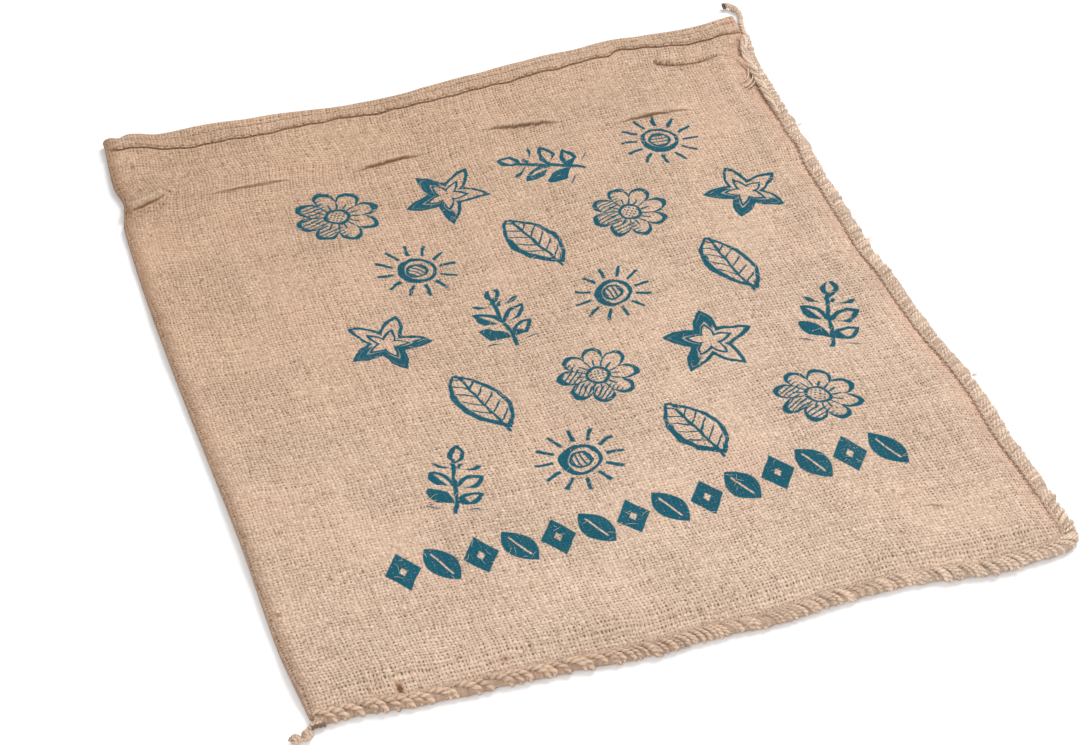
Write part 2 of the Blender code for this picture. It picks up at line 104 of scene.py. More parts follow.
# lean makes the side towards the bottom seam the steeper; line is where a dark line of painted shadow is
# drawn, in half widths above the crest (or below it, if negative), and 0 leaves it out
CREASES = [
    Crease(-1, 471, 25, 479, 4.0, 3.8, 0.9, -0.60), Crease(-3, 464, 20, 469, 3.2, -3.0, 0.0, 0.0),
    Crease(24, 479, 42, 477, 4.5, 1.0, 0.3, 0.0), Crease(4, 436, 13, 464, 6.5, -1.3, 0.0, 0.0),
    Crease(50, 466, 110, 467, 2.5, 2.0, 0.9, -0.50), Crease(148, 463, 198, 466, 2.6, 3.0, 0.95, -0.52),
    Crease(241, 478, 294, 470, 2.8, 3.6, 0.95, -0.52), Crease(328, 458, 380, 456, 2.9, 3.4, 0.9, -0.52),
    Crease(386, 505, 428, 502, 9.0, 1.3, 0.3, 0.0), Crease(2, 539, 13, 543.5, 2.2, 1.3, 0.3, 0.8),
    Crease(427, 462, 433, 434, 5.0, -1.6, 0.0, 0.0), Crease(400, 496, 428, 478, 5.0, -1.3, 0.0, 0.0),
    Crease(384, 499, 412, 497, 3.0, -0.8, 0.0, 0.0), Crease(374, 48, 386, 42.5, 1.9, 1.9, 0.7, -0.55),
    Crease(385, 43, 399, 43, 5.0, 0.9, 0.2, 0.0), Crease(150, 24, 215, 18, 12.0, 1.3, 0.0, 0.0),
    Crease(364, 60, 372, 61, 1.6, 1.1, 0.6, -0.5), Crease(40, 448, 90, 440, 14.0, -0.5, 0.0, 0.0),
]
# a strap-like fold below the mouth: x, y, half width
PLEAT = [(373.6, 515.6, 2.2), (379.0, 511.2, 2.5), (386.0, 507.6, 2.3), (396.0, 505.4, 2.3),
         (406.0, 506.0, 2.8), (416.0, 508.4, 3.3), (424.0, 508.8, 3.4), (431.0, 503.0, 3.2),
         (435.5, 492.0, 2.8), (438.5, 478.0, 2.0)]
# The dark line under a sharp crease is painted shadow.
FOLD_LINE = 0.52             # half the width of the dark line under a sharp crease
# across, along, turn and height of the waves that run through the cloth; the first two in waves a metre
SWELLS = [(5.2, 1.9, 0.4, 0.55), (-2.3, 6.1, 2.1, 0.50), (8.3, -5.4, 1.2, 0.34),
          (17.0, 9.0, 0.9, 0.27), (-13.0, 21.0, 2.7, 0.24), (31.0, -12.0, 1.9, 0.12),
          (24.0, 35.0, 4.1, 0.10)]

# one stitch over the edge and back beneath: along the seam, outwards, height
FINE_STITCH = [(1.3, -3.7, 4.0), (0.7, -2.6, 4.6), (-0.2, -1.1, 5.0), (-1.2, 0.6, 5.1), (-2.2, 2.2, 4.6),
               (-2.9, 3.5, 3.5), (-3.2, 4.0, 2.3), (-3.1, 3.2, 1.35), (-2.6, 1.0, 1.25), (-2.1, -1.5, 1.3)]
ROPE_STITCH = [(6.5, -2.8, 4.1), (4.0, -2.2, 4.8), (1.2, -1.0, 5.2), (-1.4, 0.5, 5.1), (-3.4, 2.0, 4.4),
               (-4.6, 3.3, 3.3), (-4.9, 3.9, 2.1), (-4.5, 3.3, 1.6), (-3.4, 1.2, 1.45), (-1.8, -1.2, 1.4)]

# the print's drawings, one to a cell, and the band of leaves and lozenges under them, which climbs a little
PRINT_LEFT, PRINT_LOW, CELL_WIDE, CELL_TALL = 94.0, 119.0, 74.0, 67.5
BAND_LEFT, BAND_LOW, BAND_RISE, BAND_UNIT = 69.0, 91.0, 0.032, 22.6
# small worn holes by the bottom seam, painted on with a brownish rim and a middle darkened as painted shade:
# across, along, half width, half height, depth
HOLES = ((52.0, 8.6, 1.7, 3.1, 1.0), (112.0, 12.0, 1.6, 1.5, 0.45))
TUFTS_AT = (128.0, 258.0, 402.0, 590.0, 742.0)      # along the seam

# a strand's number picks its shade; cut ends, the inner thread and a dark strand painted as shade at the
# corner have a colour of their own
ROLLED_EDGE, CHAIN, CUT_END, INNER_THREAD, SHADED = 33.0, 40.0, 60.0, 82.0, 98.0

# shades that the settings don't hold
ROSY_JUTE, RUSTY_JUTE = (0.80, 0.545, 0.425), (0.76, 0.445, 0.335)
# the first is dark slubs in the yarn; the second is multiplied in to darken the cloth towards the mouth and
# the fold and in broad patches, and at the bottom right as painted shade
SPECK, DARKENING_AND_SHADE = (0.21, 0.115, 0.062), (0.868, 0.795, 0.722)
# painted shade on the slopes of sharp creases, and painted shade in the pinched lines under the hem, beside
# the seams and down the fold
SLOPE_SHADE, PINCH_SHADE = (0.42, 0.265, 0.145), (0.190, 0.086, 0.036)
# a painted hole's brownish rim, and its middle, darkened as painted shade
HOLE_RIM, HOLE_SHADE = (0.40, 0.20, 0.10), (0.10, 0.045, 0.02)
# the inner thread's brown, and the dark strand painted as shade at the corner knot
THREAD_BROWN, SHADED_TWINE = (0.34, 0.125, 0.068), (0.13, 0.066, 0.036)
# painted shade multiplied into the bottom seam away from the corner, and the dark cut twine ends
BOTTOM_SEAM_SHADE, CUT_TWINE = (0.70, 0.59, 0.51), (0.115, 0.055, 0.028)

# in metres in the frame: the twine's free end, and the size the cloth was cut to
TAIL_ROUTE = [(0.22520, 0.26300, 0.00250), (0.22575, 0.26921, 0.00251), (0.22700, 0.27597, 0.00241),
              (0.22866, 0.28211, 0.00221), (0.23060, 0.28800, 0.00190), (0.23100, 0.29450, 0.00165),
              (0.22760, 0.29980, 0.00162)]
TAIL_LENGTH, TAIL_DIAMETER = 0.0385, 0.0032

# the camera: its place in metres, its axes, and its lens and sensor in millimetres
CAMERA_PLACE = (-0.43473, -1.41274, 1.23435)
CAMERA_RIGHT = (0.95304, -0.30242, -0.01625)
CAMERA_DOWN = (-0.20827, -0.61549, -0.76013)
CAMERA_AHEAD = (0.21987, 0.72782, -0.64957)
CAMERA_LENS, CAMERA_SENSOR = 104.35, 36.0


# ---------------------------------------------------------------- settings a user would change

DISTANCE = {"subtype": "DISTANCE", "unit": "LENGTH"}
COLOUR = {"subtype": "COLOR", "size": 3, "min": 0, "max": 1}


class ClothSettings(bpy.types.PropertyGroup):
    yarn_across: FloatProperty(name="Lengthwise yarn spacing",
                               description="From one lengthwise yarn to the next",
                               default=0.00204, min=0.001, max=0.006, precision=5, **DISTANCE)
    yarn_along: FloatProperty(name="Crosswise yarn spacing",
                              description="From one crosswise yarn to the next",
                              default=0.00225, min=0.001, max=0.006, precision=5, **DISTANCE)
    grid: FloatProperty(name="Mesh spacing", description="Size of one face of the front layer",
                        default=0.0025, min=0.0022, max=0.01, precision=4, **DISTANCE)
    light_yarn: FloatVectorProperty(name="Light yarn", description="Colour of the palest jute",
                                    default=(0.86, 0.665, 0.525), **COLOUR)
    dark_yarn: FloatVectorProperty(name="Dark yarn", description="Colour of the darkest jute",
                                   default=(0.42, 0.285, 0.195), **COLOUR)
    # the openings of the weave are painted this dark colour as shade
    gap: FloatVectorProperty(name="Between yarns", description="Colour in the openings of the weave",
                             default=(0.17, 0.095, 0.055), **COLOUR)


class PrintSettings(bpy.types.PropertyGroup):
    shown: BoolProperty(name="Print", description="Ink the leaves, flowers and stars on the front",
                        default=True)
    ink: FloatVectorProperty(name="Ink", description="Blue-green printing ink",
                             default=(0.0008, 0.064, 0.094), **COLOUR)
    line: FloatProperty(name="Line width", description="Mean width of a drawn line",
                        default=0.0019, min=0.0005, max=0.005, precision=4, **DISTANCE)


class SeamSettings(bpy.types.PropertyGroup):
    pitch: FloatProperty(name="Stitch spacing", description="From one overedge stitch to the next",
                         default=0.0064, min=0.004, max=0.012, precision=4, **DISTANCE)
    twine: FloatProperty(name="Twine width", description="Diameter of the sewing twine",
                         default=0.0023, min=0.001, max=0.004, precision=4, **DISTANCE)
    # light twine shows on the crests and dark twine in the hollows and low down, as painted light and shade
    # mixed with the twine's own tones
    light: FloatVectorProperty(name="Light twine", description="Colour of the twine's crests",
                               default=(1.0, 0.775, 0.600), **COLOUR)
    dark: FloatVectorProperty(name="Dark twine", description="Colour in the twine's hollows",
                              default=(0.165, 0.088, 0.048), **COLOUR)
    # how much painted shade darkens the bottom seam
    bottom_shade: FloatProperty(name="Bottom seam shade", description="How much darker than the side seam it is",
                        default=0.62, min=0, max=1, subtype="FACTOR")


class FibreSettings(bpy.types.PropertyGroup):
    on_cloth: IntProperty(name="Fibres on the cloth", description="Short hairs over the front",
                          default=1700, min=0, max=4000)
    on_seams: IntProperty(name="Fibres on the seams", description="Hairs along the twine",
                          default=1500, min=0, max=3000)


class StageSettings(bpy.types.PropertyGroup):
    floor: FloatVectorProperty(name="Floor", description="Colour of the floor",
                               default=(0.955, 0.955, 0.955), **COLOUR)
    key: FloatProperty(name="Key light", description="Power of the large soft lamp behind the sack",
                       default=154.0, min=0, max=900, unit="POWER")
    fill: FloatProperty(name="Fill light", description="Power of the soft lamp in front",
                        default=20.0, min=0, max=500, unit="POWER")
    sky: FloatProperty(name="Surrounding light", description="Strength of the even light all round",
                       default=0.47, min=0, max=3)


# ---------------------------------------------------------------- shape of the cloth

def ease(amount):
    """0 to 1, level at both ends."""
    amount = np.clip(amount, 0.0, 1.0)
    return amount * amount * (3.0 - 2.0 * amount)


def read_table(rows, where, column):
    """A smooth curve through one column of a table whose first column rises."""
    table = np.array(rows, float)
    place, value = table[:, 0], table[:, column]
    last = len(place) - 1
    where = np.clip(np.asarray(where, float), place[0], place[-1])
    upper = np.clip(np.searchsorted(place, where, side="right"), 1, last)
    lower = upper - 1
    before, after = np.maximum(lower - 1, 0), np.minimum(upper + 1, last)
    span = place[upper] - place[lower]
    slope_low = (value[upper] - value[before]) / (place[upper] - place[before])
    slope_high = (value[after] - value[lower]) / (place[after] - place[lower])
    t = (where - place[lower]) / span
    return ((2 * t ** 3 - 3 * t ** 2 + 1) * value[lower] + (t ** 3 - 2 * t ** 2 + t) * span * slope_low
            + (3 * t ** 2 - 2 * t ** 3) * value[upper] + (t ** 3 - t ** 2) * span * slope_high)


def left_x(y):
    return read_table(LEFT_EDGE, y, 1)


def right_x(y):
    return SACK_WIDTH + read_table(RIGHT_EDGE, y, 1) - TWINE_REACH


def bottom_y(x):
    return read_table(BOTTOM_EDGE, x, 1) + TWINE_REACH


def mouth_y(x):
    return SACK_LENGTH + read_table(MOUTH_EDGE, x, 1)


def hem_step(x):
    """Where one end of the hem laps over the other, its lower edge drops."""
    return 2.4 * (ease((x - 348.0) / 5.0) - ease((x - 354.0) / 16.0))


def hem_ripple(x):
    """The hem's lower edge isn't quite straight between its stitches."""
    return 0.75 * np.sin(x / 6.9 + 0.8 * np.sin(x / 23.0)) + 0.45 * np.sin(x / 2.9 + 1.3)


def below_mouth_at(x, below):
    """Real distance of a row from the mouth, as the hem grows wider and narrower."""
    wider = read_table(MOUTH_EDGE, x, 2) - HEM_WIDTH - hem_step(x) + hem_ripple(x)
    fade = ease((HEM_FADE - below) / (HEM_FADE - HEM_WIDTH))
    return below + wider * np.minimum(below / HEM_WIDTH, 1.0) * fade


def crease_height(x, y):
    """The highest ridge and the deepest trough at each place, added together."""
    ridge, trough = np.zeros_like(x), np.zeros_like(x)
    for crease in CREASES:
        run = np.array([crease.x1 - crease.x0, crease.y1 - crease.y0])
        along = ((x - crease.x0) * run[0] + (y - crease.y0) * run[1]) / (run @ run)
        held = np.clip(along, 0.0, 1.0)
        gap_x, gap_y = x - crease.x0 - held * run[0], y - crease.y0 - held * run[1]
        width = crease.half_width * np.where(gap_y > 0, 1.0 + crease.lean * 0.5, 1.0 - crease.lean * 0.60)
        long = crease.height > 0 and crease.x1 - crease.x0 > 40
        tapered = 0.3 + 0.7 * ease(along * 4.0) * ease((1.0 - along) * 4.0) if long else 1.0
        height = crease.height * tapered * np.exp(-(np.hypot(gap_x, gap_y) / width) ** 2)
        ridge, trough = np.maximum(ridge, height), np.minimum(trough, height)
    return ridge + trough


def pinch_shade(x, y, below):
    """0 to 1 of painted shade where the cloth is drawn in: under the hem, along the seams and down the fold.
    """
    shade = np.exp(-((below - 19.5) / 0.75) ** 2) * 0.95
    shade = np.maximum(shade, 0.32 * np.exp(-((below - HEM_MIDDLE) / 0.8) ** 2))
    shade = np.maximum(shade, 0.12 * np.exp(-((right_x(y) - x - 5.6) / 0.9) ** 2))
    shade = np.maximum(shade, 0.26 * np.exp(-((y - bottom_y(x) - 5.6) / 0.9) ** 2))
    shade = np.maximum(shade, 0.50 * np.exp(-((x - 433.4) / 3.0) ** 2 - ((y - 497.5) / 5.5) ** 2))
    return np.maximum(shade, 0.34 * np.exp(-((x - left_x(y) - 3.0) / 4.4) ** 2))


def swell_height(x, y):
    """Broad, low waves over the whole front."""
    return sum(height * np.sin(2 * math.pi * (across * x + along * y) * MM + phase)
               for across, along, phase, height in SWELLS)


def seam_pucker(x, y):
    """Small ripples that the stitches pull into the cloth beside both seams."""
    beside, above = right_x(y) - x, y - bottom_y(x)
    side = np.exp(-((beside - 8.0) / 7.0) ** 2) * np.sin(2 * math.pi * y / 12.8 + 0.7 * np.sin(y / 31.0))
    base = np.exp(-((above - 8.0) / 7.0) ** 2) * np.sin(2 * math.pi * x / 15.0 + 0.8 * np.sin(x / 27.0))
    return 0.30 * side + 0.34 * base


def top_height(x, y, below):
    hem_end = ease((36.0 - below) / 14.0)
    side_rise = SEAM_RISE + (HEM_END_RISE - SEAM_RISE) * hem_end
    side_tuck = TUCK_DEPTH * (1.0 - 0.9 * hem_end)
    rise = ease((right_x(y) - x - side_tuck) / side_rise) * ease((y - bottom_y(x) - TUCK_DEPTH) / SEAM_RISE)
    body = FOLD_HEIGHT + (BODY_HEIGHT - FOLD_HEIGHT) * ease((x - left_x(y) - FOLD_REACH) / FOLD_RISE)
    dimple = 0.30 * np.exp(-((below - HEM_MIDDLE) / 1.3) ** 2) * np.cos(2 * math.pi * x / HEM_PITCH)
    body = body + read_table(HEM, below, 1) + swell_height(x, y) - dimple
    near_seam = (crease_height(x, y) * np.minimum(1.0, rise * 2.5)
                 + seam_pucker(x, y) * np.minimum(1.0, rise * 6.0))
    return TUCK_TOP + (body - TUCK_TOP) * rise + near_seam


def height_on_cloth(x, y):
    """Height of the front above the floor at places given by X and Y alone."""
    return top_height(x, y, np.clip(mouth_y(x) - y, 0.0, CLEAR_LENGTH))


def underside_height(x, y):
    """Height of the back layer's lower face, which lifts off the floor toward the seams."""
    inset = np.minimum(right_x(y) - x, y - bottom_y(x))
    lift = (SEWN_MARGIN - inset) / (SEWN_MARGIN - TUCK_DEPTH)
    return TUCK_BOTTOM * np.clip(lift - 0.02, 0.0, 1.0)


def round_corner(x, up):
    """How far the cloth is shifted inwards to round its bottom right corner."""
    across = np.maximum((x - (LAST_COLUMN - CORNER_RADIUS)) / CORNER_RADIUS, 0.0)
    down = np.maximum((CORNER_RADIUS - up) / CORNER_RADIUS, 0.0)
    inside = (across > 0) & (down > 0)
    shift_x = across * (np.sqrt(np.maximum(1.0 - down ** 2 / 2.0, 0)) - 1.0)
    shift_y = down * (1.0 - np.sqrt(np.maximum(1.0 - across ** 2 / 2.0, 0)))
    return np.where(inside, shift_x, 0.0) * CORNER_RADIUS, np.where(inside, shift_y, 0.0) * CORNER_RADIUS


def cloth_places(columns, ups):
    """X, Y, top, underside and distance below the mouth over the whole grid of the cloth."""
    column, up = np.meshgrid(columns, ups)
    below = CLEAR_LENGTH - up
    span = mouth_y(column) - (CLEAR_LENGTH - TOP_ROWS_START) - bottom_y(column)
    low_y = bottom_y(column) + up * span / TOP_ROWS_START
    high_y = mouth_y(column) - below_mouth_at(column, below)
    y = np.where(up <= TOP_ROWS_START, low_y, high_y)
    x = left_x(y) + column * (right_x(y) - left_x(y)) / LAST_COLUMN
    top, under = top_height(x, y, below), underside_height(x, y)
    shift_x, shift_y = round_corner(column, up)
    return x + shift_x, y + shift_y, top, under, below


# ---------------------------------------------------------------- meshes

def stacked(*values):
    """Arrays of unlike shapes, spread to one shape and stacked along a last axis."""
    return np.stack(np.broadcast_arrays(*values), -1)


def distances(line):
    """How far along a line each of its points lies."""
    return np.concatenate([[0.0], np.cumsum(np.linalg.norm(np.diff(line, axis=0), axis=1))])


class Skin:
    """Vertices with a place on the cloth or twine, and faces, gathered into one mesh."""

    def __init__(self):
        self.points, self.places, self.faces, self.count = [], [], [], 0

    def add(self, points, places):
        """Adds vertices and gives their numbers."""
        points = np.asarray(points, float).reshape(-1, 3)
        self.points.append(points)
        self.places.append(np.asarray(places, float).reshape(-1, 3))
        first = self.count
        self.count += len(points)
        return np.arange(first, self.count)

    def grid(self, ids):
        """Four-sided faces over a two-dimensional array of vertex numbers."""
        quads = np.stack([ids[:-1, :-1], ids[:-1, 1:], ids[1:, 1:], ids[1:, :-1]], -1).reshape(-1, 4)
        self.faces.extend(quads.tolist())

    def bridge(self, dense, sparse):
        """Faces between a row of vertices and another that keeps only some of its columns."""
        step = (len(dense) - 1) // (len(sparse) - 1)
        for i in range(len(sparse) - 1):
            near = dense[i * step:(i + 1) * step + 1].tolist()
            self.faces.append([*near, int(sparse[i + 1]), int(sparse[i])])

    def tube(self, points, places):
        """A closed tube through rings of points, with a face over each end."""
        ids = self.add(points, places).reshape(points.shape[:2])
        self.grid(np.concatenate([ids, ids[:, :1]], 1))
        self.faces.append(ids[0, ::-1].tolist())
        self.faces.append(ids[-1].tolist())

    def build(self, name, material, sharp=None):
        """One object of everything gathered, with the places as an attribute."""
        mesh = bpy.data.meshes.new(name)
        points = (np.concatenate(self.points) + CENTRE) * MM
        mesh.from_pydata(points.tolist(), [], self.faces)
        place = mesh.attributes.new("place", "FLOAT_VECTOR", "POINT")
        place.data.foreach_set("vector", np.concatenate(self.places).astype(np.float32).ravel())
        mesh.validate()
        faces = bmesh.new()
        faces.from_mesh(mesh)
        bmesh.ops.recalc_face_normals(faces, faces=faces.faces)
        faces.to_mesh(mesh)
        faces.free()
        mesh.materials.append(material)
        mesh.shade_smooth()
        if sharp is not None:
            mesh.set_sharp_from_angle(angle=math.radians(sharp))
        piece = bpy.data.objects.new(name, mesh)
        bpy.context.scene.collection.objects.link(piece)
        return piece


def settle(piece, slot, *nodes):
    """Fixes a finished piece to the sack's body and hides the imported parts it stands for."""
    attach(piece, "root")
    if nodes:
        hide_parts(*nodes)
    return piece


def spine_frames(line):
    """Two directions across a line at each of its points, turning as little as they can."""
    run = np.gradient(line, axis=0)
    run /= np.linalg.norm(run, axis=1, keepdims=True) + 1e-12
    side = np.zeros_like(line)
    start = np.cross(run[0], (0.0, 0.0, 1.0))
    if np.linalg.norm(start) < 1e-3:
        start = np.cross(run[0], (1.0, 0.0, 0.0))
    side[0] = start / np.linalg.norm(start)
    for i in range(1, len(line)):
        turned = side[i - 1] - run[i] * (side[i - 1] @ run[i])
        side[i] = turned / (np.linalg.norm(turned) + 1e-12)
    return run, side, np.cross(side, run)


def add_strand(skin, line, radius, lay, sides=8, number=0.0, taper=0.0):
    """A twisted strand along a line: one lobe for each ply in its section, and lay the length of a turn."""
    line = np.asarray(line, float)
    _, side, up = spine_frames(line)
    steps = distances(line)
    angle = np.linspace(0, 2 * math.pi, sides, endpoint=False)[None, :]
    turn = 2 * math.pi * steps[:, None] / lay + number
    share = steps[:, None] / max(steps[-1], 1e-9)
    thin = 1.0 - taper * share ** 2
    size = np.broadcast_to(np.asarray(radius, float).reshape(-1, 1), (len(line), 1)) * thin
    reach = size * (0.84 + 0.16 * np.cos(STITCH_PLIES * (angle - turn)))
    points = (line[:, None, :] + side[:, None, :] * (np.cos(angle) * reach)[..., None]
              + up[:, None, :] * (np.sin(angle) * reach)[..., None])
    points[..., 2] = np.maximum(points[..., 2], 0.02)
    lobe = np.cos(STITCH_PLIES * (angle - turn)) * 0.5 + 0.5
    # crest is 1 on a ply's top and falls between the plies and near the floor; the twine's colour paints
    # shade by it
    crest = lobe * (0.12 + 0.88 * ease(points[..., 2] / 3.3))
    skin.tube(points, stacked(steps[:, None], crest, float(number)))


def smooth_line(points, count):
    """count points on a smooth curve through a few."""
    points = np.asarray(points, float)
    marks = distances(points)
    where = np.linspace(0, marks[-1], count)
    rows = [(mark, *point) for mark, point in zip(marks, points)]
    return np.stack([read_table(rows, where, column) for column in (1, 2, 3)], 1)


def rope_share(along):
    """0 along the fine stitches, 1 near the fold, where they are long and lie like a rope's strands."""
    return ease((along - ROPE_START) / ROPE_RISE)


def bottom_share(along):
    """0 along the side seam, 1 along the bottom."""
    return ease((along - BOTTOM_START) / BOTTOM_RISE)


def edge_lump(along):
    """How far the sewn edge bulges in and out."""
    return 0.35 * np.sin(along / 5.3) * np.sin(along / 23.0) + 0.20 * np.sin(along / 2.1 + 1.0)


def seam_relief(along):
    """0 where the stitches lie flat in the rolled edge, 1 where they stand out in bundles."""
    waves = np.sin(along / 13.7 + 0.6) + 0.8 * np.sin(along / 5.9 + 2.0) + 0.5 * np.sin(along / 31.0)
    return ease((waves + 1.1) / 2.2)


class SeamLine:
    """The cloth's sewn edge from the mouth round the corner to the fold, read by distance."""

    def __init__(self):
        ups = np.concatenate([np.arange(CLEAR_LENGTH, CORNER_RADIUS, -3.0), [CORNER_RADIUS]])
        x, y, *_ = cloth_places(np.array([LAST_COLUMN]), ups)
        side = np.stack([x[:, 0], y[:, 0]], 1)
        bx, by, *_ = cloth_places(np.arange(LAST_COLUMN - CORNER_RADIUS, FIRST_COLUMN, -3.0), np.array([0.0]))
        bottom = np.stack([bx[0], by[0]], 1)
        angle = np.linspace(0, math.pi / 2, 13)[1:-1]
        start, end = side[-1], bottom[0]
        corner = np.stack([end[0] + (start[0] - end[0]) * np.cos(angle),
                           start[1] + (end[1] - start[1]) * np.sin(angle)], 1)
        line = np.concatenate([side, corner, bottom, bottom[-1:] - [[4.0, 0.0]]])
        self.mark = distances(line)
        run = np.gradient(line, self.mark, axis=0)
        normal = np.stack([-run[:, 1], run[:, 0]], 1)
        self.line, self.normal = line, normal / np.linalg.norm(normal, axis=1, keepdims=True)
        self.length = self.mark[-1]

    def place(self, along, outward, height):
        """Points at distances along the seam, outwards from the cloth's edge and above the floor."""
        along, outward, height = np.broadcast_arrays(np.asarray(along, float), outward, height)
        axes = [np.interp(along, self.mark, self.line[:, i])
                + outward * np.interp(along, self.mark, self.normal[:, i]) for i in (0, 1)]
        return np.stack([*axes, height], -1)


# ---------------------------------------------------------------- node building

class Wire:
    """A value inside a node tree. Arithmetic on it adds Math nodes."""

    def __init__(self, tree, socket):
        self.tree, self.socket = tree, socket

    def op(self, kind, *others):
        node = self.tree.nodes.new("ShaderNodeMath")
        node.operation = kind
        for socket, value in zip(node.inputs, (self, *others)):
            feed(self.tree, socket, value)
        return Wire(self.tree, node.outputs[0])

    def __add__(self, other):
        return self.op("ADD", other)

    def __sub__(self, other):
        return self.op("SUBTRACT", other)

    def __mul__(self, other):
        return self.op("MULTIPLY", other)

    def __truediv__(self, other):
        return self.op("DIVIDE", other)

    __radd__, __rmul__ = __add__, __mul__

    def __rsub__(self, other):
        return -self + other

    def __neg__(self):
        return self * -1.0

    def abs(self):
        return self.op("ABSOLUTE")

    def floor(self):
        return self.op("FLOOR")

    def fract(self):
        return self.op("FRACT")

    def sin(self):
        return self.op("SINE")

    def cos(self):
        return self.op("COSINE")

    def sqrt(self):
        return self.op("SQRT")

    def min(self, other):
        return self.op("MINIMUM", other)

    def max(self, other):
        return self.op("MAXIMUM", other)

    def clipped(self, high=1.0):
        """Held between 0 and high."""
        return self.max(0.0).min(high)

    def over(self, amount):
        """1 where the value is greater."""
        return self.op("GREATER_THAN", amount)

    def under(self, amount):
        """1 where the value is less."""
        return self.op("LESS_THAN", amount)

    def power(self, amount):
        """Raised to a power, with negative values as 0."""
        return self.max(0.0).op("POWER", amount)

    def mod(self, amount):
        return self.op("FLOORED_MODULO", amount)

    def below(self, edge, soft):
        """1 where the value is under edge, falling to 0 over soft."""
        return ((edge - self) / soft + 0.5).clipped()

    def equals(self, amount):
        """1 where the value is within 0.3 of the amount."""
        return self.op("COMPARE", amount, 0.3)


def feed(tree, socket, value):
    """Sets a node's input, or links it if the value is a wire or a socket."""
    if isinstance(value, Wire):
        value = value.socket
    if isinstance(value, bpy.types.NodeSocket):
        tree.links.new(value, socket)
    else:
        socket.default_value = value


def node_in(tree, kind, inputs=None, **settings):
    """A node with its settings, and its inputs by name or number set or linked."""
    node = tree.nodes.new(kind)
    for key, value in settings.items():
        setattr(node, key, value)
    for key, value in (inputs or {}).items():
        feed(tree, node.inputs[key], value)
    return node


def join(tree, x, y, z=0.0):
    """Three values as one vector."""
    return node_in(tree, "ShaderNodeCombineXYZ", {"X": x, "Y": y, "Z": z}).outputs[0]


def noise(tree, x, y, z, detail=1.0, rough=0.5):
    """Smooth noise from 0 to 1 at a place; the coordinates carry the real scale."""
    made = node_in(tree, "ShaderNodeTexNoise", {"Vector": join(tree, x, y, z), "Scale": 1.0,
                                                "Detail": detail, "Roughness": rough})
    return Wire(tree, made.outputs["Fac"])


def chance(tree, x, y=0.0, z=0.0):
    """The same random number from 0 to 1 wherever the inputs are the same."""
    made = node_in(tree, "ShaderNodeTexWhiteNoise", {"Vector": join(tree, x, y, z)}, noise_dimensions="3D")
    return Wire(tree, made.outputs["Value"])


def blend(tree, amount, first, second, kind="MIX"):
    """Two colours mixed by an amount; a colour is a socket or three numbers."""
    inputs = {0: amount}
    for number, value in ((6, first), (7, second)):
        inputs[number] = value if isinstance(value, bpy.types.NodeSocket) else (*value, 1.0)
    return node_in(tree, "ShaderNodeMix", inputs, data_type="RGBA", blend_type=kind).outputs[2]


def start_group(name, inputs, outputs):
    """An empty shader group with its sockets, and its inputs as wires."""
    tree = bpy.data.node_groups.new(name, "ShaderNodeTree")
    for in_out, labels in (("INPUT", inputs), ("OUTPUT", outputs)):
        for label in labels:
            tree.interface.new_socket(label, in_out=in_out, socket_type="NodeSocketFloat")
    entry, leave = tree.nodes.new("NodeGroupInput"), tree.nodes.new("NodeGroupOutput")
    return tree, [Wire(tree, socket) for socket in entry.outputs[:len(inputs)]], leave


def put_out(tree, leave, *values):
    """Links a group's results to its outputs, in their order."""
    for value, socket in zip(values, leave.inputs):
        feed(tree, socket, value)
    return tree


def use_group(tree, name, maker, inputs):
    """Places a shader group, made at its first use, and gives its outputs as wires by name."""
    made = node_in(tree, "ShaderNodeGroup", inputs, node_tree=bpy.data.node_groups.get(name) or maker())
    return {socket.name: Wire(tree, socket) for socket in made.outputs}


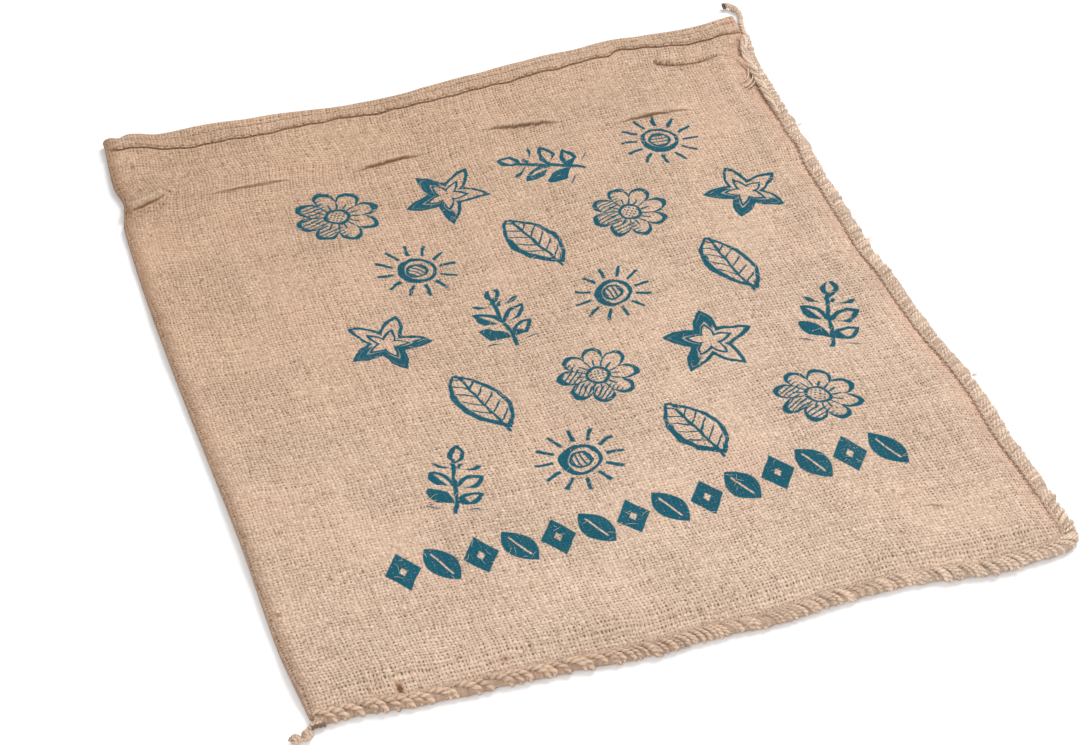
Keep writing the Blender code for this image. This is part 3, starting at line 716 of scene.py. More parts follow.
def plain_weave_group():
    """Over-and-under yarns with slubs and openings. Places and spacings are in millimetres."""
    tree, (across, along, pitch_a, pitch_b), leave = start_group(
        "Plain weave", ("Across", "Along", "Across Pitch", "Along Pitch"),
        ("Height", "Opening", "Tone", "Fuzz"))
    sway = noise(tree, across * 0.045, along * 0.03, 1.3, detail=3.0, rough=0.62) - 0.5
    drift = noise(tree, across * 0.030, along * 0.05, 7.7, detail=3.0, rough=0.62) - 0.5
    a = (across + sway * 6.4) / pitch_a
    b = (along + drift * 7.4) / pitch_b
    a_number, b_number = a.floor(), b.floor()
    a_chance, b_chance = chance(tree, a_number, 3.1), chance(tree, b_number, 8.4)
    crossing = chance(tree, a_number, b_number, 5.5)
    a_slub = noise(tree, along * 0.16, a_number * 3.7, 2.0, detail=2.0, rough=0.6)
    b_slub = noise(tree, across * 0.16, b_number * 5.3, 9.0, detail=2.0, rough=0.6)
    a_half = 0.13 + a_slub * 0.42 + a_chance * 0.12
    b_half = 0.10 + b_slub * 0.44 + b_chance * 0.13
    a_off = (a.fract() - 0.5 + (a_slub - 0.5) * 0.55 + (a_chance - 0.5) * 0.26).abs() / a_half
    b_off = (b.fract() - 0.5 + (b_slub - 0.5) * 0.55 + (b_chance - 0.5) * 0.26).abs() / b_half
    a_round, b_round = (1.0 - a_off * a_off).power(0.30), (1.0 - b_off * b_off).power(0.30)
    a_sign, b_sign = 1.0 - a_number.mod(2.0) * 2.0, 1.0 - b_number.mod(2.0) * 2.0
    a_wave = a_sign * ((b - 0.5) * math.pi).cos()
    b_wave = b_sign * ((a - 0.5) * math.pi).cos()
    a_top = a_round * (0.78 + a_wave * 0.22)
    b_top = b_round * (0.72 - b_wave * 0.22)
    fuzz = noise(tree, across * 0.024, along * 0.021, 4.4, detail=3.0, rough=0.6)
    hair = noise(tree, across * 0.95, along * 0.80, 6.1, detail=3.0, rough=0.72)
    open_low = ((95.0 - along) / 95.0).clipped() * ((300.0 - across) / 300.0).max(0.45) * 0.12
    covered = ((fuzz - open_low - 0.495) * 4.6 + (hair - 0.5) * 1.3).clipped(0.86)
    top = a_top.max(b_top)
    height = top * (1.0 - covered * 0.55) + hair * 1.05
    opening = top.below(open_low * 1.3 + 0.36, 0.40) * (1.0 - covered) * (1.5 - hair * 0.7)
    tone = crossing * 0.42 + (a_chance * 0.5 + a_slub * 0.5) * a_wave.max(0.0) * 0.58
    tone = tone + (b_chance * 0.5 + b_slub * 0.5) * (-b_wave).max(0.0) * 0.58
    return put_out(tree, leave, height, opening.max(0.0), tone, fuzz)


def stroke(distance, half_width):
    """Ink along a line: 1 on it, softening over a fraction of a millimetre."""
    return distance.abs().below(half_width, 0.5)


def turned(x, y, angle):
    """Coordinates turned by a fixed angle in degrees."""
    c, s = math.cos(math.radians(angle)), math.sin(math.radians(angle))
    return x * c + y * s, y * c - x * s


def leaf_outline(x, y, half_length, half_width):
    """How far a place is outside a pointed leaf that stands upright; negative inside."""
    span = (y / half_length).abs().min(1.0)
    width = (1.0 - span * span) * half_width
    return (x.abs() - width) * 0.86 + (y.abs() - half_length).max(0.0)


def draw_sprig(x, y, width):
    """A stem with paired leaves."""
    stem = stroke(x + (y * 0.11).sin() * 1.2, width) * y.abs().below(21.0, 1.0)
    step = y.mod(13.0) - 4.0
    across, along = turned(x.abs() - 7.0, step, -52)
    leaf = leaf_outline(across, along, 8.0, 3.5)
    drawn = stroke(leaf, width) * y.abs().below(17.0, 1.0)
    solid = leaf.below(-0.2, 0.6) * (x + y).below(-3.0, 1.5) * y.abs().below(17.0, 1.0)
    tip = leaf_outline(x, y - 24.0, 6.0, 3.0)
    return stem.max(drawn).max(solid).max(stroke(tip, width))


def draw_broad_leaf(x, y, width):
    """A broad leaf with a midrib and side veins."""
    edge = leaf_outline(x + (y * 0.06).sin() * 2.0, y, 24.5, 12.0)
    inside = edge.below(0.0, 0.6)
    veins = stroke((y - x.abs() * 0.85).mod(7.6) - 3.8, width * 0.62) * inside
    veins = veins * (x.abs() - 9.0).below(0.0, 2.0)
    rib = stroke(x, width * 0.8) * (y + 1.5).abs().below(26.0, 1.0)
    shade = inside * (edge * -1.0).below(2.2, 0.6) * (x * 0.8 + y * 0.4).below(-3.0, 2.0)
    return stroke(edge, width).max(veins).max(rib).max(shade)


def polar(x, y):
    """Distance from the middle, and the angle round it in radians."""
    return (x * x + y * y).sqrt(), y.op("ARCTAN2", x)


def draw_daisy(x, y, width):
    """Round petals about a dotted middle."""
    radius, angle = polar(x, y)
    petals = 12.5 + (angle * 4.0).cos().abs().power(0.6) * 8.5
    ring = stroke((radius - petals) * 0.72, width)
    middle = stroke(radius - 6.0, width * 0.9)
    spokes = stroke((angle * 8.0).sin() * radius * 0.16, width * 0.6) * (radius - 9.5).abs().below(2.6, 0.8)
    dots = (((x * 1.5).sin() * (y * 1.5).sin()).abs() - 0.55) * 4.0
    hatch = stroke((x - y * 0.7).mod(3.1) - 1.55, width * 0.55) * (radius - petals).below(-1.2, 1.0)
    hatch = hatch * (1.0 - radius.below(9.0, 1.0)) * (x + y).below(-2.0, 4.0)
    return ring.max(middle).max(spokes).max(dots.clipped() * radius.below(4.8, 0.6)).max(hatch)


def draw_star(x, y, width):
    """A five-pointed star inside another."""
    radius, angle = polar(x, y)
    fold = ((angle * (5.0 / (2 * math.pi))).fract() - 0.5).abs() * 2.0
    point = 9.0 + fold.power(1.35) * 13.0
    shade = radius.below(point * 0.93, 1.2) * (1.0 - radius.below(point * 0.62, 1.2))
    shade = shade * (x + y * 0.5).below(-1.0, 1.5)
    outer = stroke((radius - point) * 0.66, width)
    return outer.max(stroke((radius - point * 0.52) * 0.75, width * 0.8)).max(shade)


def draw_sun(x, y, width):
    """A ring with short rays, thick on one side."""
    radius, angle = polar(x, y)
    ring = stroke(radius - 9.5, width)
    crescent = radius.below(9.5, 0.6) * (1.0 - polar(x - 1.9, y - 1.6)[0].below(8.6, 0.6))
    rays = stroke((angle * 6.0).sin() * radius * 0.165, width * 0.85)
    rays = rays * (radius - 17.4).abs().below(4.6, 0.8)
    inner = stroke(radius - 5.2, width * 0.7)
    hatch = stroke((y + x * 0.4).mod(2.8) - 1.4, width * 0.5) * radius.below(5.0, 0.6)
    return ring.max(crescent).max(rays).max(inner).max(hatch)


def hand_print_group():
    """Leaves, flowers, stars and suns over the front, and a band of solid leaves and lozenges."""
    tree, (across, along, line), leave = start_group("Hand print", ("Across", "Along", "Line"), ("Ink",))
    wobble_x = (noise(tree, across * 0.11, along * 0.11, 3.0, detail=1.5) - 0.5) * 3.4
    wobble_y = (noise(tree, across * 0.11, along * 0.11, 17.0, detail=1.5) - 0.5) * 3.4
    pressed = noise(tree, across * 0.16, along * 0.16, 29.0, detail=1.0)
    half = line * (0.26 + pressed * 0.66)
    u, v = across + wobble_x, along + wobble_y
    row = ((v - PRINT_LOW) / CELL_TALL).floor()
    slide = row.mod(2.0) * 0.5
    column = ((u - PRINT_LEFT) / CELL_WIDE - slide).floor()
    pick = [chance(tree, column, row, seed) for seed in (2.0, 5.0, 8.0, 13.0)]
    x0 = ((u - PRINT_LEFT) / CELL_WIDE - slide - column - 0.5) * CELL_WIDE + (pick[0] - 0.5) * 7.0
    y0 = ((v - PRINT_LOW) / CELL_TALL - row - 0.5) * CELL_TALL + (pick[1] - 0.5) * 3.0
    angle = (pick[2] - 0.5) * 2.3
    size = 0.76 + pick[3] * 0.14
    c, s = angle.cos(), angle.sin()
    x, y = (x0 * c + y0 * s) * size, (y0 * c - x0 * s) * size
    which = (column + row * 2.0 + 40.0).mod(5.0)
    drawn = None
    for index, draw in enumerate((draw_sprig, draw_sun, draw_broad_leaf, draw_daisy, draw_star)):
        part = draw(x, y, half) * which.equals(float(index))
        drawn = part if drawn is None else drawn.max(part)
    field = (row + 0.5).over(0.0) * row.under(4.5)
    field = field * column.over(-0.5) * (column + slide).under(3.8)
    rise = (across - BAND_LEFT) * BAND_RISE
    bu, bv = u * 0.35 + across * 0.65 - BAND_LEFT, v * 0.35 + along * 0.65 - BAND_LOW - rise
    unit = (bu / BAND_UNIT).floor()
    bx, tall = (bu / BAND_UNIT - unit - 0.5) * BAND_UNIT, chance(tree, unit, 4.0)
    lozenge = bx.abs() * 0.84 + bv.abs() * 0.57 - (8.3 + tall * 0.7)
    hollow = bx.abs() * 0.84 + bv.abs() * 0.57 - 2.0
    lx, ly = turned(bx, bv, 24)
    leaf = leaf_outline(lx, ly, 16.2, 8.8)
    vein = stroke(lx, 0.55) * ly.abs().below(10.0, 1.0)
    even = unit.mod(2.0).equals(0.0)
    band = lozenge.below(0.0, 0.6) * (1.0 - hollow.below(0.0, 0.6)) * even
    band = band.max(leaf.below(0.0, 0.6) * (1.0 - vein) * (1.0 - even))
    band = band * unit.over(-0.5) * unit.under(13.5)
    return put_out(tree, leave, (drawn * field).max(band))


def fold_line_group():
    """A thin painted shadow line that tapers to both ends, a painted highlight on the crest beside it, and
    painted shade on the slope. Places are in millimetres.
    """
    tree, (along, beside, length, crest, offset), leave = start_group(
        "Fold line", ("Along", "Beside", "Length", "Crest Width", "Line Offset"),
        ("Line", "Crest", "Slope"))
    share = (along / length).clipped()
    taper = (share * (1.0 - share) * 4.0).power(0.40)
    wander = (noise(tree, along * 0.20, offset, length, detail=2.0) - 0.5) * 1.1
    line = ((beside - offset + wander).abs() / (taper * FOLD_LINE + 0.02)).below(1.15, 0.9) * taper
    ridge = (beside.abs() / crest).below(0.75, 0.8) * taper
    slope = (beside / offset - 0.62).abs().below(0.36, 0.30) * taper.power(2.5)
    return put_out(tree, leave, line, ridge, slope)


def jute_tone_group():
    """Uneven colour of raw jute: broad patches, yarn streaks, and a few dark specks."""
    tree, (across, along), leave = start_group(
        "Jute tone", ("Across", "Along"), ("Patch", "Fleck", "Speck", "Blush"))
    patch = noise(tree, across * 0.012, along * 0.014, 2.0, detail=3.0, rough=0.6)
    grain = noise(tree, across * 0.62, along * 0.66, 5.0, detail=3.0, rough=0.75)
    fleck = ((grain - 0.5) * 3.1 + 0.5).clipped()
    seed = noise(tree, across * 0.23, along * 0.17, 21.0, detail=2.0, rough=0.6)
    speck = ((seed - 0.632) * 11.0).clipped()
    blush = noise(tree, across * 0.016, along * 0.013, 31.0, detail=1.0)
    return put_out(tree, leave, patch, fleck, speck, blush)


def fibre_strand_group():
    """Fine fibres lying along a twisted twine, with painted shade down in its hollows."""
    tree, (along, crest, strand), leave = start_group(
        "Fibre strand", ("Along", "Crest", "Strand"), ("Shade", "Height"))
    streak = (noise(tree, along * 0.85, crest * 2.0, strand * 1.7, detail=3.0, rough=0.8) - 0.5) * 3.0 + 0.5
    broad = noise(tree, along * 0.16, strand * 2.9, 3.0, detail=1.0)
    own = chance(tree, strand * 3.1, 6.0)
    shade = (crest * 0.38 + streak * 0.42 + broad * 0.22 + own * 0.42 + 0.14) * (crest * 0.70 + 0.66).min(1.0)
    return put_out(tree, leave, shade.clipped(), streak * 0.7 + crest * 0.4)


def new_material(name, roughness, sheen):
    """A dry, dull material, its node tree and its shader."""
    material = bpy.data.materials.new(name)
    material.use_nodes = True
    shader = material.node_tree.nodes["Principled BSDF"]
    for label, value in (("Specular IOR Level", 0.06), ("Sheen Weight", sheen), ("Sheen Roughness", 0.6),
                         ("Roughness", roughness)):
        shader.inputs[label].default_value = value
    return material, material.node_tree, shader


def bump_from(tree, shader, height, strength, distance):
    """Turns a height into the shader's normal."""
    made = node_in(tree, "ShaderNodeBump", {"Height": height, "Strength": strength, "Distance": distance})
    tree.links.new(made.outputs["Normal"], shader.inputs["Normal"])


def place_wires(tree):
    """The place attribute's three numbers."""
    read = node_in(tree, "ShaderNodeAttribute", attribute_name="place")
    parts = node_in(tree, "ShaderNodeSeparateXYZ", {"Vector": read.outputs["Vector"]})
    return [Wire(tree, output) for output in parts.outputs]


def sack_wires(tree):
    """X and Y from the sack's bottom left corner, in millimetres, by the mesh's own coordinates."""
    where = node_in(tree, "ShaderNodeTexCoord")
    parts = node_in(tree, "ShaderNodeSeparateXYZ", {"Vector": where.outputs["Object"]})
    return [Wire(tree, parts.outputs[axis]) / MM - float(CENTRE[axis]) for axis in (0, 1)]


def crease_wires(tree):
    """The painted shadow lines, painted crest highlights and painted slope shade of every sharp crease, by
    the mesh's own coordinates.
    """
    x, y = sack_wires(tree)
    found = [None, None, None]
    for crease in CREASES:
        if crease.line:
            run_x, run_y = crease.x1 - crease.x0, crease.y1 - crease.y0
            along, beside = turned(x - crease.x0, y - crease.y0, math.degrees(math.atan2(run_y, run_x)))
            made = use_group(tree, "Fold line", fold_line_group, {
                "Along": along, "Beside": beside, "Length": math.hypot(run_x, run_y),
                "Crest Width": crease.half_width, "Line Offset": crease.line * crease.half_width})
            strength = min(1.0, crease.height / 2.8)
            parts = [made[label] * strength for label in ("Line", "Crest", "Slope")]
            found = [part if old is None else old.max(part) for old, part in zip(found, parts)]
    return found


def hessian_material(cloth, ink):
    """Woven jute with worn blue-green ink on its front."""
    material, tree, shader = new_material("Hessian", 0.92, 0.02)
    across, along, side = place_wires(tree)
    weave = use_group(tree, "Plain weave", plain_weave_group, {
        "Across": across, "Along": along, "Across Pitch": cloth.yarn_across / MM,
        "Along Pitch": cloth.yarn_along / MM})
    tone = use_group(tree, "Jute tone", jute_tone_group, {"Across": across, "Along": along})
    amount = (weave["Tone"] * 0.74 + tone["Fleck"] * 0.80 + tone["Patch"] * 0.60 - 0.49).clipped()
    base = blend(tree, amount, cloth.dark_yarn, cloth.light_yarn)
    base = blend(tree, ((tone["Blush"] - 0.5) * 0.9).clipped(0.25), base, ROSY_JUTE)
    base = blend(tree, tone["Speck"] * 0.55, base, SPECK)
    # The cloth is multiplied darker towards the mouth and the fold and in broad patches, and at the bottom
    # right as painted shade.
    low_right_shade = ((across - 250.0) / 150.0).clipped() * ((230.0 - along) / 160.0).clipped()
    darkening_and_shade = (along * 0.6 - across * 0.4 + 60.0) / 300.0 + low_right_shade * 0.42 + (tone["Patch"] - 0.5) * 0.9
    base = blend(tree, darkening_and_shade.clipped(), base, DARKENING_AND_SHADE, kind="MULTIPLY")
    by_seam = ((across - 426.0) / 18.0).clipped() * (tone["Blush"] * 0.75 - 0.05).max(0.0)
    base = blend(tree, by_seam, base, RUSTY_JUTE)
    printed = use_group(tree, "Hand print", hand_print_group, {
        "Across": across, "Along": along, "Line": ink.line / MM})
    worn = (weave["Height"] * 1.3 + tone["Fleck"] * 1.6 - 0.72).clipped()
    inked = printed["Ink"] * worn * side.over(0.5) * (1.0 if ink.shown else 0.0)
    light_ink = [c * 1.9 + 0.008 for c in ink.ink]
    pigment = blend(tree, tone["Fleck"], ink.ink, light_ink)
    base = blend(tree, inked, base, pigment)
    line, crest, slope = crease_wires(tree)
    # The front's painted shade, from the place attribute and the crease lines.
    painted_shade = (side - 1.0).max(0.0).max(line * side.over(0.5) * 0.72)
    # The weave's openings are painted dark as shade.
    base = blend(tree, (weave["Opening"] * (0.86 - printed["Ink"] * 0.5)).min(0.9), base, cloth.gap)
    # A painted highlight on the crease crests, painted shade on their slopes and in the pinched lines.
    base = blend(tree, crest * 0.30, base, cloth.light_yarn)
    base = blend(tree, slope * 0.42, base, SLOPE_SHADE)
    base = blend(tree, (painted_shade * 1.15).min(0.92), base, PINCH_SHADE)
    # Worn holes painted on: a brownish rim, and a middle darkened as painted shade.
    for hole_x, hole_y, wide, tall, depth in HOLES:
        hole_u, hole_v = (across - hole_x) / wide, (along - hole_y) / tall
        hole = (hole_u * hole_u + hole_v * hole_v).sqrt()
        base = blend(tree, hole.below(1.7, 0.9) * 0.5 * depth, base, HOLE_RIM)
        base = blend(tree, hole.below(0.85, 0.5) * 0.85 * depth, base, HOLE_SHADE)
    tree.links.new(base, shader.inputs["Base Color"])
    feed(tree, shader.inputs["Roughness"], (0.86 + tone["Fleck"] * 0.12 - inked * 0.06).min(1.0))
    bump_from(tree, shader, weave["Height"], 0.95, 0.00055)
    return material


def twine(context, name="Jute twine", cut_ends=False, bottom_shade=0.0):
    """Loosely twisted jute twine, made at its first use."""
    if name in bpy.data.materials:
        return bpy.data.materials[name]
    seam = context.scene.sack_seams
    material, tree, shader = new_material(name, 0.9, 0.15)
    along, crest, strand = place_wires(tree)
    fibre = use_group(tree, "Fibre strand", fibre_strand_group, {
        "Along": along, "Crest": crest, "Strand": strand})
    # The fibre's shade mixes painted shade in the hollows and low down, painted light on the crests, and the
    # fibres' own streaks and tones.
    base = blend(tree, fibre["Shade"], seam.dark, seam.light)
    is_thread = strand.over(INNER_THREAD - 3.0) * strand.under(INNER_THREAD + 8.0)
    base = blend(tree, is_thread * 0.75, base, THREAD_BROWN)
    base = blend(tree, strand.over(SHADED - 3.0) * 0.80, base, SHADED_TWINE)
    # Painted shade on the bottom seam, darker away from the corner.
    if bottom_shade:
        from_corner = ((430.0 - sack_wires(tree)[0]) / 260.0).clipped()
        base = blend(tree, from_corner * bottom_shade, base, BOTTOM_SEAM_SHADE, kind="MULTIPLY")
    if cut_ends:
        base = blend(tree, strand.over(CUT_END - 10.0) * 0.85, base, CUT_TWINE)
    tree.links.new(base, shader.inputs["Base Color"])
    feed(tree, shader.inputs["Roughness"], (0.84 + fibre["Height"] * 0.12).min(1.0))
    bump_from(tree, shader, fibre["Height"], 0.9, 0.0005)
    return material


def shaded_bottom_twine(context):
    """The bottom seam's twine, with painted shade that grows away from the corner."""
    return twine(context, "Shaded bottom twine", bottom_shade=context.scene.sack_seams.bottom_shade)


# ---------------------------------------------------------------- operators

class SACK_OT_camera(bpy.types.Operator):
    """Places the camera in front of the sack, looking down on it"""
    bl_idname = "sack.camera"
    bl_label = "Camera"

    def execute(self, context):
        lens = bpy.data.cameras.new("Camera")
        lens.lens, lens.sensor_width, lens.sensor_fit = CAMERA_LENS, CAMERA_SENSOR, "HORIZONTAL"
        lens.clip_start, lens.clip_end = 0.05, 20.0
        camera = bpy.data.objects.new("Camera", lens)
        right, up, back = Vector(CAMERA_RIGHT), -Vector(CAMERA_DOWN), -Vector(CAMERA_AHEAD)
        turn = Matrix((right, up, back)).transposed().to_4x4()
        camera.matrix_world = Matrix.Translation(CAMERA_PLACE) @ turn
        context.scene.collection.objects.link(camera)
        context.scene.camera = camera
        return {"FINISHED"}


class SACK_OT_tail(bpy.types.Operator):
    """Adds the twine left over at the mouth and the knot at its end"""
    bl_idname = "sack.tail"
    bl_label = "Mouth tail"

    def execute(self, context):
        local = np.array(TAIL_ROUTE) / MM - CENTRE
        centre = smooth_line(local, 44)
        _, side, up = spine_frames(centre)
        steps = np.linspace(0, TAIL_LENGTH / MM, len(centre))
        skin = Skin()
        for ply in range(3):
            angle = 2 * math.pi * (steps / 11.0 + ply / 3.0)
            swing = 0.86 * (side * np.cos(angle)[:, None] + up * np.sin(angle)[:, None])
            add_strand(skin, centre + swing, 1.16, lay=4.5, number=ply + 1.0)
        tail = settle(skin.build("mouth_tail", twine(context)), "twine", "twine_tail")
        knot = Skin()
        middle = np.array([226.0, 302.2, 3.0]) - CENTRE
        turns = np.linspace(0, 2 * math.pi, 48)
        for number, (tilt, size) in enumerate(((0.1, 1.0), (0.9, 1.1), (1.7, 1.0), (2.5, 1.05))):
            ring = np.stack([np.cos(turns) * size * 0.9, np.sin(turns) * size * math.cos(tilt) * 1.15,
                             np.sin(turns) * size * math.sin(tilt) * 1.1], 1)
            add_strand(knot, middle + ring, 1.28, lay=3.6, sides=9, number=number + 7.0)
        neck = np.array([(230.7, 295.2, 2.6), (229.4, 298.0, 2.7), (227.9, 300.2, 2.8),
                         (226.4, 301.8, 3.0)]) - CENTRE
        for number, offset in enumerate(((0.5, 0.5, 0.5), (-0.6, -0.3, 0.3), (0.1, -0.2, -0.6))):
            add_strand(knot, smooth_line(neck + offset, 14), 1.2, lay=4.5, number=number + 1.0)
        for number in range(9):
            turn = 2.399 * number
            spread = 0.62 * math.sqrt(number)
            away = np.array([0.0, spread * math.cos(turn), spread * math.sin(turn) * 0.85])
            tip = middle + np.array([[-0.6, 0, 0], [-2.0, 0, 0], [-3.1 - 0.15 * (number % 3), 0, 0]])
            add_strand(knot, smooth_line(tip + away * 1.05, 7), 0.72, lay=2.5, sides=7,
                       number=CUT_END + number)
        ends = twine(context, "Dark cut twine", cut_ends=True)
        tip_piece = settle(knot.build("mouth_tail_knot", ends), "twine", "tail_knot")
        return {"FINISHED"}


class SACK_OT_cloth(bpy.types.Operator):
    """Weaves the bag: front and back layers, fold, sewn edges and turned hem"""
    bl_idname = "sack.cloth"
    bl_label = "Cloth"

    def execute(self, context):
        settings = context.scene.sack_cloth
        step = settings.grid / MM
        count = COARSE * round((LAST_COLUMN - FIRST_COLUMN) / step / COARSE) + 1
        columns = np.linspace(FIRST_COLUMN, LAST_COLUMN, count)
        rows = [np.linspace(low, high, many or round((high - low) / step) + 1)[:-1]
                for low, high, many in ROW_BANDS]
        ups = np.concatenate([*rows, [CLEAR_LENGTH]])
        skin = Skin()
        outer = self.layer(skin, columns, ups, COARSE)
        kept = columns[::COARSE][columns[::COARSE] <= LAST_COLUMN - SEWN_MARGIN]
        inner = self.layer(skin, kept, ups[ups >= SEWN_MARGIN][::-1][::2][::-1], 1, inside=True)
        self.close_mouth(skin, outer, inner)
        material = bpy.data.materials.get("Hessian")
        material = material or hessian_material(settings, context.scene.sack_print)
        bag = skin.build("hessian_bag", material, sharp=60)
        settle(bag, "hessian", "sack_cloth")
        pleat = settle(self.pleat().build("mouth_pleat", material), "hessian")
        return {"FINISHED"}

    @staticmethod
    def pleat():
        """A fold of the cloth pressed over below the mouth: a rounded tip painted dark, and painted shade in
        the groove beside it.
        """
        x, y, width = smooth_line(PLEAT, 90).T
        line = stacked(x, y, 0.0)
        _, side, _ = spine_frames(line)
        share = np.linspace(0, 1, len(line))
        round_tip = np.sqrt(np.clip(1.0 - (1.0 - np.minimum(share * 26.0, 1.0)) ** 2, 0.0, 1.0))
        round_end = np.sqrt(np.clip((1.0 - share) * 9.0, 0.0, 1.0))
        angle = np.linspace(0, 2 * math.pi, 22, endpoint=False)[None, :]
        wide = (width * (0.12 + 0.88 * round_tip) * (0.3 + 0.7 * round_end))[:, None]
        across, rise = np.cos(angle) * wide, np.sin(angle)
        x = line[:, :1] + side[:, :1] * across
        y = line[:, 1:2] + side[:, 1:2] * across
        below = np.clip(mouth_y(x) - y, 0.0, CLEAR_LENGTH)
        tall = (2.5 + 0.5 * np.sin(share * 17.0))[:, None] * (0.2 + 0.8 * round_tip * round_end)[:, None]
        base = height_on_cloth(line[:, 0], line[:, 1])[:, None]
        z = base + np.where(rise > 0, rise * tall, rise * 1.2)
        # Painted shade along one side of the pleat, and a dark spot painted at its tip.
        under = np.where(share[:, None] < 0.50, np.cos(angle) > 0, np.cos(angle) < 0)
        wide_shade = 0.24 + 0.22 * ease((share[:, None] - 0.62) / 0.2)
        groove = np.where(under, np.exp(-((rise - 0.10) / wide_shade) ** 2), 0.0) * 0.8
        groove = np.maximum(groove, 0.75 * np.exp(-(share[:, None] / 0.022) ** 2))
        column = (x - left_x(y)) * LAST_COLUMN / (right_x(y) - left_x(y))
        skin = Skin()
        skin.tube(stacked(x, y, z), stacked(column, CLEAR_LENGTH - below, 1.0 + groove))
        return skin

    @staticmethod
    def layer(skin, columns, ups, coarse, inside=False):
        """One skin: its top, the turn at the fold, and an underside with fewer columns."""
        x, y, top, under, below = cloth_places(columns, ups)
        thick = read_table(HEM, below, 2) if inside else np.zeros_like(x)
        along = CLEAR_LENGTH - below
        # On the front, the place attribute's third number is 1 plus the painted shade.
        front_and_shade = 0.0 if inside else 1.0 + pinch_shade(x, y, below)
        high = skin.add(stacked(x, y, top - thick), stacked(columns, along, front_and_shade)).reshape(x.shape)
        floor = thick if inside else under
        few = (slice(None), slice(None, None, coarse))
        low_x, low_y = x[few], y[few]
        low = skin.add(stacked(low_x, low_y, floor[few]), stacked(low_x, low_y, 0.0)).reshape(low_x.shape)
        ceiling = (top - thick)[:, 0]
        middle, half = (floor[:, 0] + ceiling) / 2, (ceiling - floor[:, 0]) / 2
        reach = FOLD_REACH - thick[:, 0]
        fold = []
        for angle in np.radians((-67, -45, -22, 0, 22, 45, 67)):
            px = x[:, 0] - reach * math.cos(angle)
            turn = FIRST_COLUMN - (math.pi / 2 - angle) * 3.4
            # On the front, the turn at the fold carries 0.30 of painted shade.
            fold.append(skin.add(stacked(px, y[:, 0], middle + half * math.sin(angle)),
                                 stacked(turn, along[:, 0], 0.0 if inside else 1.30)))
        fold = np.stack(fold, 1)
        skin.grid(high)
        skin.grid(low)
        skin.grid(np.concatenate([low[:, :1], fold, high[:, :1]], 1))
        skin.grid(np.stack([high[:, -1], low[:, -1]], 1))
        skin.bridge(high[0], low[0])
        skin.faces.append([int(low[0, 0]), *fold[0].tolist(), int(high[0, 0])])
        return low, fold, high

    @staticmethod
    def close_mouth(skin, outer, inner):
        """The rim of the hem, between the outer skin and the inner one."""
        low, fold, high = (part[-1] for part in outer)
        inner_low, inner_fold, inner_high = (part[-1] for part in inner)
        kept = len(inner_high)
        skin.bridge(high[:(kept - 1) * COARSE + 1], inner_high)
        skin.bridge(low[:kept], inner_low)
        skin.grid(np.stack([np.concatenate([low[:1], fold, high[:1]]),
                            np.concatenate([inner_low[:1], inner_fold, inner_high[:1]])], 0))
        skin.faces.append([*high[(kept - 1) * COARSE:].tolist(), *low[kept - 1:][::-1].tolist(),
                           int(inner_low[-1]), int(inner_high[-1])])


